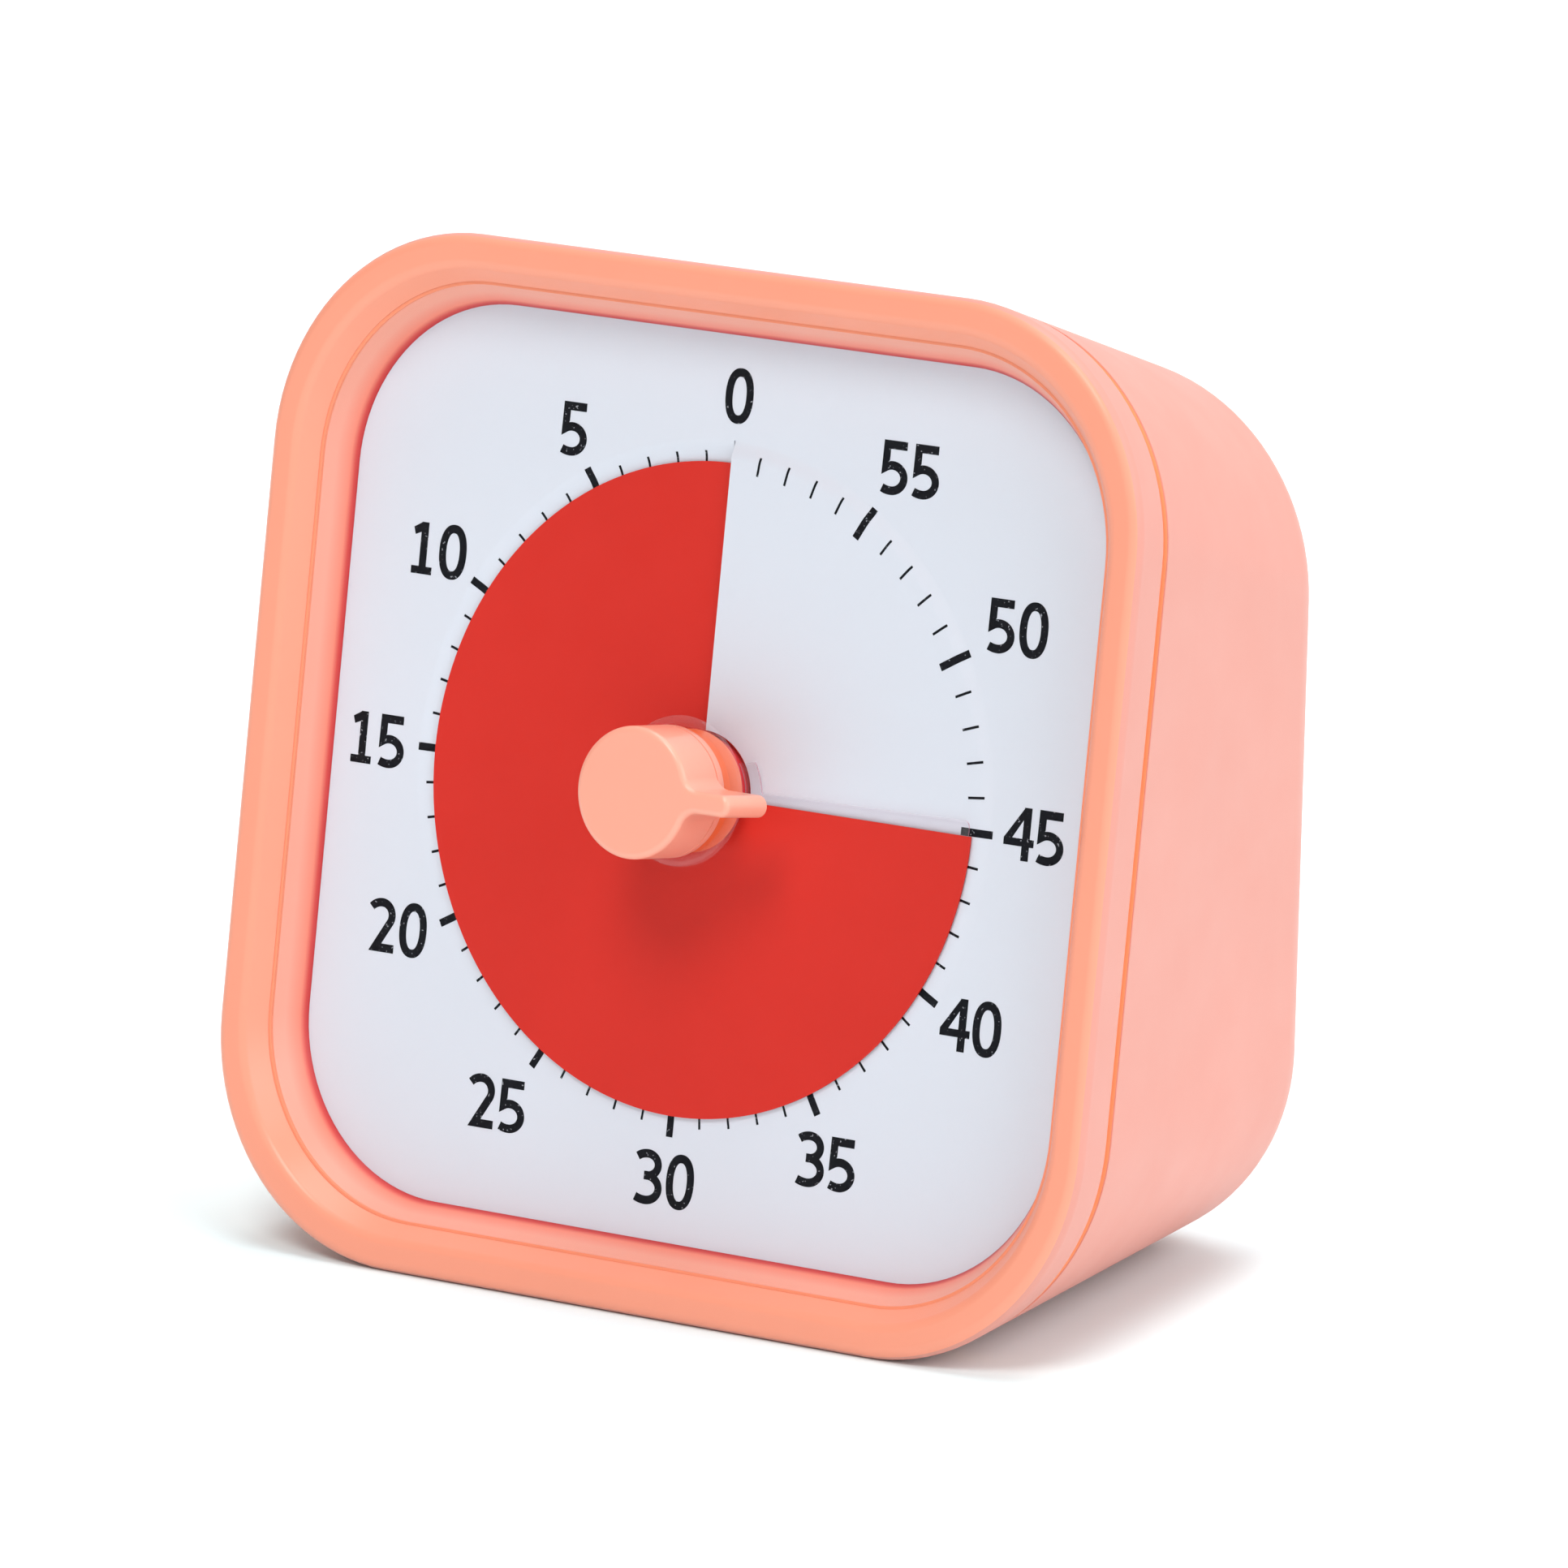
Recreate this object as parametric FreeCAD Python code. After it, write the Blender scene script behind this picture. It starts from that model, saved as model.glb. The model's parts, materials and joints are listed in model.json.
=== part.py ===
"""Square desk timer with a red disk that comes out of a slit in its dial.

Two frames are used. The face frame has its origin at the dial's centre on the dial plane, X to the right, Z up
along the face and Y into the body. The row frame stands on Z = 0 with the face towards -Y: the face frame leans
back in it by LEAN. Face parts are made in the face frame and put in place by stand(). All lengths are in mm.
"""
import FreeCAD, Part
import math
import os

from FreeCAD import Vector

os.makedirs("parts", exist_ok=True)

# Driving dimensions
FRONT_SIZE = 89.0           # side of the square front face
FRONT_CORNER_R = 19.6
BODY_DEPTH = 44.5           # front plane to back plane along the dial's axis
LEAN = math.radians(9.5)    # lean of the face, and the taper of every side
CORNER_SHRINK = 0.022       # loss of corner radius per mm of depth
FACE_PLANE = -5.2           # front plane, from the dial plane
FRONT_EDGE_R = 1.0
BACK_EDGE_R = 6.7
WALL = 1.8                  # sleeve
HOUSING_WALL = 1.4
FIT_GAP = 0.12

LAND_INSET = 2.55
BAND_INSET = 4.25           # where the sloped band meets the lens
LENS_FRONT = -3.2
LENS_THICKNESS = 1.0
WALL_INSET = 4.32           # top of the dial's surrounding wall
LENS_GAP = 0.08
OPENING_HALF = 38.4         # dial opening
OPENING_CORNER_R = 15.0
SEAT_INSET = 3.65           # recess behind the bezel's lip
GROOVE_FRONT = -0.1
GROOVE_BACK = 0.95
GROOVE_DEPTH = 0.5
SPIGOT_END = 1.8

CARD_THICKNESS = 0.25
FILM_THICKNESS = 0.15
FILM_GAP = 0.16
PITCH = CARD_THICKNESS + FILM_THICKNESS + 2 * FILM_GAP
CARD_HALF = 40.5
CARD_HOLE_R = 5.1
SLIT_R = 29.6
WARP_R = 28.0
SLIT_HALF_DEG = 0.3
FILM_R = 27.9
REST_DEG = 270.0            # disk shown at rest: 45 minutes
HUB_R = 4.7
HUB_FRONT = -1.1
HUB_BACK = 1.3
HELIX_STEPS = 60

KNOB_R = 5.6
KNOB_FRONT = -10.5
KNOB_BACK = -4.7
FIN_HALF_WIDTH = 0.95
FIN_REACH = 10.6
FIN_BACK = -5.5
FIN_BLEND_R = 1.6
KNOB_EDGE_R = 0.45
STEM_R = 5.2
STEM_BACK = -1.6
COLLAR_R = 6.3
COLLAR_BORE_R = 5.4
SHAFT_R = 1.5
SLIDE_FIT = 0.06

BACKPLATE_FRONT = CARD_THICKNESS + 0.01
BACKPLATE_BACK = 3.0
POCKET_FLOOR = 1.4
POCKET_R = 30.8

MODULE = 0.5
CENTRE_TEETH = 48
THIRD_PINION_TEETH = 12
THIRD_TEETH = 40
ROTOR_TEETH = 10
THIRD_AXIS = (-9.0, -12.0)  # 15 mm from the centre
ROTOR_AXIS = (-21.5, -12.0)
ARBOR_R = 0.6
MOVEMENT_LOW = (-31.0, -24.0)
MOVEMENT_HIGH = (16.0, 24.0)
MOVEMENT_SPLIT = 8.0
MOVEMENT_BACK = 15.0
MOVEMENT_WALL = 1.2
MOVEMENT_CORNER_R = 4.0

WINDOW_HALF = 28.5          # sleeve's rear window
WINDOW_LOW = 8.6
WINDOW_HIGH = 61.5
WINDOW_R = 6.0
COVER_INSIDE = WALL + FIT_GAP   # distances in front of the back plane
COVER_OUTSIDE = 0.5
DOOR_HALF = 26.0
DOOR_LOW = 11.7
DOOR_HIGH = 28.3
TRAY_HALF = 27.0
TRAY_DEEP = 16.0
TRAY_WALL = 1.2
CELL_R = 7.25
CELL_LENGTH = 49.2
BOARD_HALF = 25.0
BOARD_LOW = 33.0
BOARD_HIGH = 57.0
BOARD_BACK = 8.3
BOARD_THICKNESS = 1.2
BUZZER_AT = (-11.0, 45.0)
SWITCH_AT = (12.0, 50.0)
SCREW_R = 1.0
SCREW_HOLE_R = 1.05
SCREW_HEAD_R = 1.9

# Derived places
SIN = math.sin(LEAN)
COS = math.cos(LEAN)
TAPER = math.tan(LEAN)
FRONT_HALF = FRONT_SIZE / 2
DIAL_Z = FRONT_HALF * COS + FACE_PLANE * SIN
_FOOT_Y = FACE_PLANE * COS - FRONT_HALF * SIN
_FRONT_Y = _FOOT_Y + FRONT_EDGE_R * (TAPER + 1 / COS - 1)
_BACK_Y = (BODY_DEPTH + FACE_PLANE) * COS
DIAL_Y = -(_FRONT_Y + _BACK_Y) / 2
BACK_Y = _BACK_Y + DIAL_Y
STAND = FreeCAD.Placement(
    Vector(0, DIAL_Y, DIAL_Z), FreeCAD.Rotation(Vector(1, 0, 0), -math.degrees(LEAN))
)
BEYOND = 200.0


def stand(shape):
    """Face frame to row frame."""
    moved = shape.copy()
    moved.Placement = STAND.multiply(moved.Placement)
    return moved


def lie(shape):
    """Row frame to face frame."""
    moved = shape.copy()
    moved.Placement = STAND.inverse().multiply(moved.Placement)
    return moved


def save(name, shape):
    """Writes one node, as one solid or a group of separate solids."""
    solids = shape.Solids
    body = solids[0] if len(solids) == 1 else Part.makeCompound(solids)
    for solid in solids:
        assert solid.isValid(), name
    body.exportStep("parts/" + name + ".step")


# Shapes in the face frame
def rounded_wire(half_x, half_z, radius, y, centre=(0.0, 0.0)):
    cx, cz = centre
    ix = half_x - radius
    iz = half_z - radius
    edges = []
    for quarter in range(4):
        turn = quarter * math.pi / 2
        corner = ((ix, iz), (-ix, iz), (-ix, -iz), (ix, -iz))[quarter]
        after = ((-ix, iz), (-ix, -iz), (ix, -iz), (ix, iz))[quarter]

        def on_arc(angle, at=corner):
            return Vector(
                cx + at[0] + radius * math.cos(angle), y, cz + at[1] + radius * math.sin(angle)
            )

        end = on_arc(turn + math.pi / 2)
        edges.append(Part.Arc(on_arc(turn), on_arc(turn + math.pi / 4), end).toShape())
        edges.append(Part.LineSegment(end, on_arc(turn + math.pi / 2, after)).toShape())
    return Part.Wire(edges)


def facet(*corners):
    return Part.Face(Part.makePolygon(list(corners) + [corners[0]]))


def sewn_solid(faces):
    joined = Part.makeCompound(faces)
    joined.sewShape()
    solid = Part.Solid(joined.Shells[0])
    if solid.Volume < 0:
        solid.reverse()
    return solid


def square_loft(sections):
    """Sections are (y, half, corner radius). The straight sides are true planes."""
    wires = [rounded_wire(half, half, radius, y) for y, half, radius in sections]
    faces = [Part.Face(wires[0]), Part.Face(wires[-1])]
    for wire, after in zip(wires, wires[1:]):
        for edge, mate in zip(wire.Edges, after.Edges):
            if isinstance(edge.Curve, Part.Line):
                start, end = (vertex.Point for vertex in edge.Vertexes)
                mate_start, mate_end = (vertex.Point for vertex in mate.Vertexes)
                faces.append(facet(start, end, mate_end, mate_start))
            else:
                faces.append(Part.makeRuledSurface(edge, mate))
    return sewn_solid(faces)


def slab(half_x, half_z, radius, y0, y1, centre=(0.0, 0.0)):
    face = Part.Face(rounded_wire(half_x, half_z, radius, y0, centre))
    return face.extrude(Vector(0, y1 - y0, 0))


def rod(radius, y0, y1, centre=(0.0, 0.0)):
    return Part.makeCylinder(radius, y1 - y0, Vector(centre[0], y0, centre[1]), Vector(0, 1, 0))


def tube(outer, inner, y0, y1, centre=(0.0, 0.0)):
    return rod(outer, y0, y1, centre).cut(rod(inner, y0 - 1, y1 + 1, centre))


def block(low, high):
    return Part.makeBox(high[0] - low[0], high[1] - low[1], high[2] - low[2], Vector(*low))


def half_at(y):
    return FRONT_HALF - TAPER * (y - FACE_PLANE)


def corner_at(y):
    return FRONT_CORNER_R - CORNER_SHRINK * (y - FACE_PLANE)


def edges_in_plane(shape, point, normal):
    found = []
    for edge in shape.Edges:
        first, last = edge.ParameterRange
        samples = (edge.valueAt(first), edge.valueAt((first + last) / 2), edge.valueAt(last))
        if all(abs((sample - point).dot(normal)) < 1e-4 for sample in samples):
            found.append(edge)
    return found


def tapered_body(inset, start=FACE_PLANE):
    """The body's outer form, inset all round and at the back, with its rounded back edge."""
    reach = BODY_DEPTH + 15.0
    form = square_loft(
        [
            (start, half_at(start) - inset, corner_at(start) - inset),
            (reach, half_at(reach) - inset, corner_at(reach) - inset),
        ]
    )
    back = BACK_Y - inset
    behind = lie(block((-BEYOND, back, -BEYOND), (BEYOND, back + BEYOND, BEYOND)))
    form = form.cut(behind)
    point = STAND.inverse().multVec(Vector(0, back, DIAL_Z))
    normal = STAND.inverse().Rotation.multVec(Vector(0, 1, 0))
    return form.makeFillet(BACK_EDGE_R - inset, edges_in_plane(form, point, normal))


def between(y0, y1):
    return block((-BEYOND, y0, -BEYOND), (BEYOND, y1, BEYOND))


# Case, front to back
def band_corner(inset):
    """Corner radius of the bezel's inner lines: it runs from the outer corner's to the opening's."""
    share = inset / (FRONT_HALF - OPENING_HALF)
    return FRONT_CORNER_R + (OPENING_CORNER_R - FRONT_CORNER_R) * share


def inner_line(y, inset):
    return (y, FRONT_HALF - inset, band_corner(inset))


def front_frame():
    ring = tapered_body(0.0)
    front = edges_in_plane(ring, Vector(0, FACE_PLANE, 0), Vector(0, 1, 0))
    ring = ring.makeFillet(FRONT_EDGE_R, front).common(between(FACE_PLANE - 1, GROOVE_FRONT))
    spigot_inset = WALL + FIT_GAP
    start = LENS_FRONT
    spigot = square_loft(
        [
            (y, half_at(y) - spigot_inset, corner_at(y) - spigot_inset)
            for y in (start, SPIGOT_END)
        ]
    )
    throat = square_loft(
        [
            inner_line(FACE_PLANE - 1.0, LAND_INSET - 0.4),
            inner_line(FACE_PLANE, LAND_INSET),
            inner_line(FACE_PLANE + 0.2, LAND_INSET + 0.5),
            inner_line(LENS_FRONT, BAND_INSET),
        ]
    )
    seat_line = inner_line(LENS_FRONT, SEAT_INSET)
    seat = slab(seat_line[1], seat_line[1], seat_line[2], LENS_FRONT, SPIGOT_END + 1)
    return ring.fuse(spigot).cut(throat).cut(seat).removeSplitter()


def wall_inset(y):
    """The surrounding wall slopes in from under the lip to the dial opening."""
    share = (y - LENS_FRONT) / -LENS_FRONT
    return WALL_INSET + (FRONT_HALF - OPENING_HALF - WALL_INSET) * share


def lens():
    back = LENS_FRONT + LENS_THICKNESS
    plate = square_loft([inner_line(y, wall_inset(y) + LENS_GAP) for y in (LENS_FRONT, back)])
    collar = rod(COLLAR_R, LENS_FRONT - 0.55, back)
    bore = rod(COLLAR_BORE_R, LENS_FRONT - 2, LENS_FRONT + 2)
    return plate.fuse(collar).cut(bore).removeSplitter()


def dial_surround():
    _, half, radius = inner_line(0.0, SEAT_INSET + FIT_GAP)
    ring = slab(half, half, radius, LENS_FRONT + 0.05, 0.0)
    hole = square_loft([inner_line(y, wall_inset(y)) for y in (LENS_FRONT - 0.5, 0.5)])
    return ring.cut(hole)


def sleeve():
    shell = tapered_body(0.0).common(between(GROOVE_BACK, BEYOND))
    lip = square_loft(
        [
            (y, half_at(y) - GROOVE_DEPTH, corner_at(y) - GROOVE_DEPTH)
            for y in (GROOVE_FRONT, GROOVE_BACK + 1)
        ]
    )
    window = back_slab(WINDOW_HALF, WINDOW_LOW, WINDOW_HIGH, WINDOW_R, -1.0, 8.0)
    hollow = tapered_body(WALL)
    return shell.fuse(lip).cut(hollow).cut(lie(window)).removeSplitter()


def inner_housing():
    skin = WALL + FIT_GAP
    tub = tapered_body(skin).common(between(BACKPLATE_BACK, BEYOND))
    tub = stand(tub.cut(tapered_body(skin + HOUSING_WALL)))
    inside = COVER_INSIDE + HOUSING_WALL
    tray_hole = back_slab(TRAY_HALF + TRAY_WALL + 0.1, DOOR_LOW - 1.4, DOOR_HIGH + 1.4, 0.8, 0.0, 8.0)
    sound_hole = back_slab(19.0, 34.5, 56.0, 3.0, 0.0, 8.0)
    tub = tub.cut(tray_hole).cut(sound_hole)
    for at in COVER_SCREWS:
        tub = tub.fuse(back_rod(2.2, inside - 0.2, 8.0, at)).cut(back_rod(SCREW_HOLE_R, 0.0, 7.0, at))
    for at in BOARD_SCREWS:
        tub = tub.fuse(back_rod(2.2, inside - 0.2, BOARD_BACK, at)).cut(
            back_rod(SCREW_HOLE_R, 4.0, 9.0, at)
        )
    return tub.removeSplitter()


# Shapes in the row frame, measured inwards from the back plane
def back_slab(half_x, z_low, z_high, radius, from_back, to_back):
    flat = slab(half_x, (z_high - z_low) / 2, radius, 0.0, to_back - from_back)
    flat.translate(Vector(0, BACK_Y - to_back, (z_low + z_high) / 2))
    return flat


def back_rod(radius, from_back, to_back, at):
    return rod(radius, BACK_Y - to_back, BACK_Y - from_back, at)


COVER_SCREWS = ((-25.3, 32.6), (25.3, 32.6), (-20.6, 57.6), (20.6, 57.6))
BOARD_SCREWS = ((-22.8, 38.5), (22.8, 38.5))
GRILLE_PITCH = 3.0


def rear_cover():
    gap = 0.15
    plate = back_slab(
        WINDOW_HALF - gap, WINDOW_LOW + gap, WINDOW_HIGH - gap, WINDOW_R - gap, COVER_OUTSIDE, COVER_INSIDE
    )
    door = back_slab(DOOR_HALF + 0.2, DOOR_LOW - 0.2, DOOR_HIGH + 0.2, 2.0, 0.0, 4.0)
    plate = plate.cut(door)
    for at in COVER_SCREWS:
        plate = plate.cut(back_rod(SCREW_HOLE_R, 0.0, 4.0, at))
        plate = plate.cut(back_rod(SCREW_HEAD_R + 0.2, 0.0, COVER_OUTSIDE + 0.8, at))
    for step in range(7):
        angle = math.radians(60 * step)
        reach = 0.0 if step == 6 else GRILLE_PITCH
        spot = (BUZZER_AT[0] + reach * math.cos(angle), BUZZER_AT[1] + reach * math.sin(angle))
        plate = plate.cut(back_rod(0.9, 0.0, 4.0, spot))
    slot = block(
        (SWITCH_AT[0] - 3.2, BACK_Y - 4, SWITCH_AT[1] - 1.4), (SWITCH_AT[0] + 3.2, BACK_Y + 1, SWITCH_AT[1] + 1.4)
    )
    return plate.cut(slot)


def battery_door():
    panel = back_slab(DOOR_HALF, DOOR_LOW, DOOR_HIGH, 1.8, COVER_OUTSIDE, COVER_INSIDE - 0.05)
    notch = rod(3.0, BACK_Y - COVER_OUTSIDE - 0.8, BACK_Y, (0.0, DOOR_HIGH + 0.6))
    return panel.cut(notch)


def battery_tray():
    far = COVER_INSIDE + TRAY_DEEP + TRAY_WALL
    outer = back_slab(
        TRAY_HALF + TRAY_WALL, DOOR_LOW - TRAY_WALL, DOOR_HIGH + TRAY_WALL, 0.7, COVER_INSIDE, far
    )
    room = back_slab(TRAY_HALF, DOOR_LOW, DOOR_HIGH, 0.4, 0.0, COVER_INSIDE + TRAY_DEEP)
    return outer.cut(room)


CELL_Y = BACK_Y - COVER_INSIDE - 0.6 - CELL_R
CELL_Z = (DOOR_LOW + DOOR_HIGH) / 2
CELL_END = TRAY_HALF - 0.5


def cell_rod(radius, x0, x1):
    return Part.makeCylinder(radius, x1 - x0, Vector(x0, CELL_Y, CELL_Z), Vector(1, 0, 0))


def battery_cell():
    nub = 1.3
    can = cell_rod(CELL_R, CELL_END - nub - CELL_LENGTH, CELL_END - nub)
    rim = can.makeFillet(0.6, [edge for edge in can.Edges if edge.Length > 10 and edge.Closed])
    return rim.fuse(cell_rod(2.7, CELL_END - nub - 0.2, CELL_END)).removeSplitter()


def contact_plate():
    low = (CELL_END, CELL_Y - 4.0, CELL_Z - 6.0)
    return block(low, (CELL_END + 0.4, CELL_Y + 4.0, CELL_Z + 6.0))


def contact_spring():
    """A plate with three coils of wire, shown as stacked rings on a post."""
    wall = -TRAY_HALF + 0.1
    cell = CELL_END - 1.3 - CELL_LENGTH
    shape = block((wall, CELL_Y - 4.0, CELL_Z - 6.0), (wall + 0.4, CELL_Y + 4.0, CELL_Z + 6.0))
    turns = 3
    pitch = (cell - wall - 0.4) / turns
    for turn in range(turns):
        radius = 3.6 - 0.6 * turn
        x0 = wall + 0.4 + turn * pitch
        ring = cell_rod(radius, x0, x0 + pitch).cut(cell_rod(radius - 0.9, x0 - 1, x0 + pitch + 1))
        shape = shape.fuse(ring)
    return shape


def circuit_board():
    board = back_slab(BOARD_HALF, BOARD_LOW, BOARD_HIGH, 1.5, BOARD_BACK, BOARD_BACK + BOARD_THICKNESS)
    for at in BOARD_SCREWS:
        board = board.cut(back_rod(SCREW_HOLE_R, 6.0, 12.0, at))
    for at in COVER_SCREWS:
        board = board.cut(back_rod(3.0, 6.0, 12.0, at))
    return board


def on_board(low, high, front):
    """A box on the board's front or rear face, from (x, z, height) numbers."""
    if front:
        y1 = BACK_Y - BOARD_BACK - BOARD_THICKNESS
        y0 = y1 - high[2]
    else:
        y0 = BACK_Y - BOARD_BACK
        y1 = y0 + high[2]
    return block((low[0], y0, low[1]), (high[0], y1, high[1]))


def buzzer():
    can = back_rod(7.0, BOARD_BACK - 4.5, BOARD_BACK, BUZZER_AT)
    return can.cut(back_rod(1.0, 2.0, BOARD_BACK - 3.0, BUZZER_AT))


SWITCH_TOP = 3.6
SLIDER_TRAVEL = 2.6


def switch_body():
    x, z = SWITCH_AT
    case = on_board((x - 4.5, z - 2.0), (x + 4.5, z + 2.0, SWITCH_TOP), False)
    top = BACK_Y - BOARD_BACK + SWITCH_TOP
    slot = block((x - 3.0, top - 1.2, z - 1.1), (x + 3.0, top + 1, z + 1.1))
    return case.cut(slot)


def switch_slider():
    x = SWITCH_AT[0] - SLIDER_TRAVEL / 2
    z = SWITCH_AT[1]
    top = BACK_Y - BOARD_BACK + SWITCH_TOP
    nub = block((x - 1.2, top - 1.1, z - 1.0), (x + 1.2, BACK_Y - 0.1, z + 1.0))
    ridges = nub
    for shift in (-0.6, 0.0, 0.6):
        groove = block((x + shift - 0.12, BACK_Y - 0.35, z - 2), (x + shift + 0.12, BACK_Y + 1, z + 2))
        ridges = ridges.cut(groove)
    return ridges


def screw(head_y, direction, length, at):
    """A pan-head screw with a cross recess. direction is +1 when it points to +Y."""
    head_high = 0.8
    axis = Vector(0, direction, 0)
    head = Part.makeCylinder(SCREW_HEAD_R, head_high, Vector(at[0], head_y, at[1]), axis)
    shank = Part.makeCylinder(SCREW_R, length, Vector(at[0], head_y, at[1]), axis)
    body = head.fuse(shank).removeSplitter()
    low_y = min(head_y - 0.1 * direction, head_y + 0.45 * direction)
    high_y = max(head_y - 0.1 * direction, head_y + 0.45 * direction)
    for reach_x, reach_z in ((1.1, 0.22), (0.22, 1.1)):
        body = body.cut(
            block((at[0] - reach_x, low_y, at[1] - reach_z), (at[0] + reach_x, high_y, at[1] + reach_z))
        )
    return body


def screw_group(head_y, direction, length, spots):
    return Part.makeCompound([screw(head_y, direction, length, at) for at in spots])


# Dial and disk
def card_height(radius, degrees):
    """Height of the card's front face towards the viewer: a lock washer's helix that fades out at the slit's end."""
    rise = PITCH * (degrees / 360.0 - 0.5)
    fade = min(1.0, max(0.0, (SLIT_R - radius) / (SLIT_R - WARP_R)))
    return rise * fade


def film_height(radius, degrees):
    """Height of the film's front face: one gap in front of the card, or behind it past the slit."""
    return PITCH * (degrees / 360.0 - 0.5) + FILM_GAP + FILM_THICKNESS


def polar(radius, degrees, height):
    """Degrees run anticlockwise from 12 o'clock as seen from the front."""
    angle = math.radians(degrees + 90.0)
    return Vector(radius * math.cos(angle), -height, radius * math.sin(angle))


def helical_sheet(radii, degrees, height, thickness):
    """A thin sheet of flat facets between radii, from the first angle to the last."""
    faces = []

    def point(radius, angle, side):
        return polar(radius, angle, height(radius, angle) - side * thickness)

    for a0, a1 in zip(degrees, degrees[1:]):
        for r0, r1 in zip(radii, radii[1:]):
            for side in (0, 1):
                faces.append(facet(point(r0, a0, side), point(r1, a0, side), point(r1, a1, side)))
                faces.append(facet(point(r0, a0, side), point(r1, a1, side), point(r0, a1, side)))
        for radius in (radii[0], radii[-1]):
            faces.append(
                facet(
                    point(radius, a0, 0), point(radius, a1, 0), point(radius, a1, 1), point(radius, a0, 1)
                )
            )
    for angle in (degrees[0], degrees[-1]):
        for r0, r1 in zip(radii, radii[1:]):
            faces.append(
                facet(point(r0, angle, 0), point(r1, angle, 0), point(r1, angle, 1), point(r0, angle, 1))
            )
    return sewn_solid(faces)


def steps(first, last, count):
    return [first + (last - first) * step / count for step in range(count + 1)]


def dial_card():
    angles = steps(SLIT_HALF_DEG, 360.0 - SLIT_HALF_DEG, HELIX_STEPS)
    warped = helical_sheet([CARD_HOLE_R, WARP_R, SLIT_R], angles, card_height, CARD_THICKNESS)
    margin = slab(CARD_HALF, CARD_HALF, OPENING_CORNER_R + 1.3, 0.0, CARD_THICKNESS)
    rim = Part.makePolygon([polar(SLIT_R, angle, 0.0) for angle in angles] + [polar(SLIT_R, angles[0], 0.0)])
    hole = Part.Face(rim).extrude(Vector(0, CARD_THICKNESS, 0))
    return margin.cut(hole).fuse(warped)


def red_disk():
    lead = 2.4
    angles = steps(REST_DEG - 358.0, REST_DEG + lead, HELIX_STEPS)
    return helical_sheet([HUB_R + 0.05, FILM_R], angles, film_height, FILM_THICKNESS)


def disk_hub():
    return tube(HUB_R, SHAFT_R + SLIDE_FIT, HUB_FRONT, HUB_BACK)


def dial_backplate():
    plate = slab(CARD_HALF, CARD_HALF, OPENING_CORNER_R + 1.3, BACKPLATE_FRONT, BACKPLATE_BACK)
    plate = plate.cut(rod(POCKET_R, BACKPLATE_FRONT - 1, POCKET_FLOOR))
    plate = plate.cut(rod(HUB_R + 0.5, 0.0, 5.0))
    for at in MOVEMENT_SCREWS:
        plate = plate.cut(rod(SCREW_HOLE_R, 1.9, 5.0, at))
    return plate


# Knob
def knob_outline(y, inset):
    """A circle with a fin towards +X, blended by two concave arcs. inset draws it smaller all round."""
    round_r = KNOB_R - inset
    half_width = FIN_HALF_WIDTH - inset
    blend_r = FIN_BLEND_R + inset
    reach = round_r + blend_r
    side = half_width + blend_r
    blend_x = math.sqrt(reach ** 2 - side ** 2)
    share = round_r / reach
    start = Vector(blend_x * share, y, side * share)
    tip = FIN_REACH - FIN_HALF_WIDTH

    def mirrored(vector):
        return Vector(vector.x, vector.y, -vector.z)

    middle = math.atan2(side * share, blend_x * share)
    bend = (middle + 5 * math.pi / 2) / 2
    blend_mid = Vector(blend_x + blend_r * math.cos(bend), y, side + blend_r * math.sin(bend))
    fin_foot = Vector(blend_x, y, half_width)
    fin_end = Vector(tip, y, half_width)
    edges = [
        Part.Arc(start, Vector(-round_r, y, 0), mirrored(start)),
        Part.Arc(mirrored(start), mirrored(blend_mid), mirrored(fin_foot)),
        Part.LineSegment(mirrored(fin_foot), mirrored(fin_end)),
        Part.Arc(mirrored(fin_end), Vector(tip + half_width, y, 0), fin_end),
        Part.LineSegment(fin_end, fin_foot),
        Part.Arc(fin_foot, blend_mid, start),
    ]
    return Part.Wire([edge.toShape() for edge in edges])


def knob():
    edge = [math.radians(angle) for angle in (0, 30, 60, 90)]
    wires = [
        knob_outline(KNOB_FRONT + KNOB_EDGE_R * (1 - math.cos(a)), KNOB_EDGE_R * (1 - math.sin(a)))
        for a in edge
    ]
    wires.append(knob_outline(FIN_BACK, 0.0))
    body = Part.makeLoft(wires, True, True)
    body = body.fuse(rod(KNOB_R, FIN_BACK - 1.0, KNOB_BACK)).removeSplitter()
    return body.cut(rod(2.6, KNOB_FRONT + 1.4, KNOB_BACK + 1))


def knob_stem():
    neck = rod(STEM_R, KNOB_BACK, STEM_BACK).fuse(rod(2.6, KNOB_FRONT + 1.4, KNOB_BACK + 0.5))
    return neck.cut(rod(SHAFT_R, KNOB_FRONT, 0.0)).removeSplitter()


def shaft():
    end = MOVEMENT_BACK - MOVEMENT_WALL
    return rod(SHAFT_R, KNOB_FRONT + 2.2, end - 1.6).fuse(rod(0.8, end - 1.8, end + 0.5)).removeSplitter()


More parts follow.
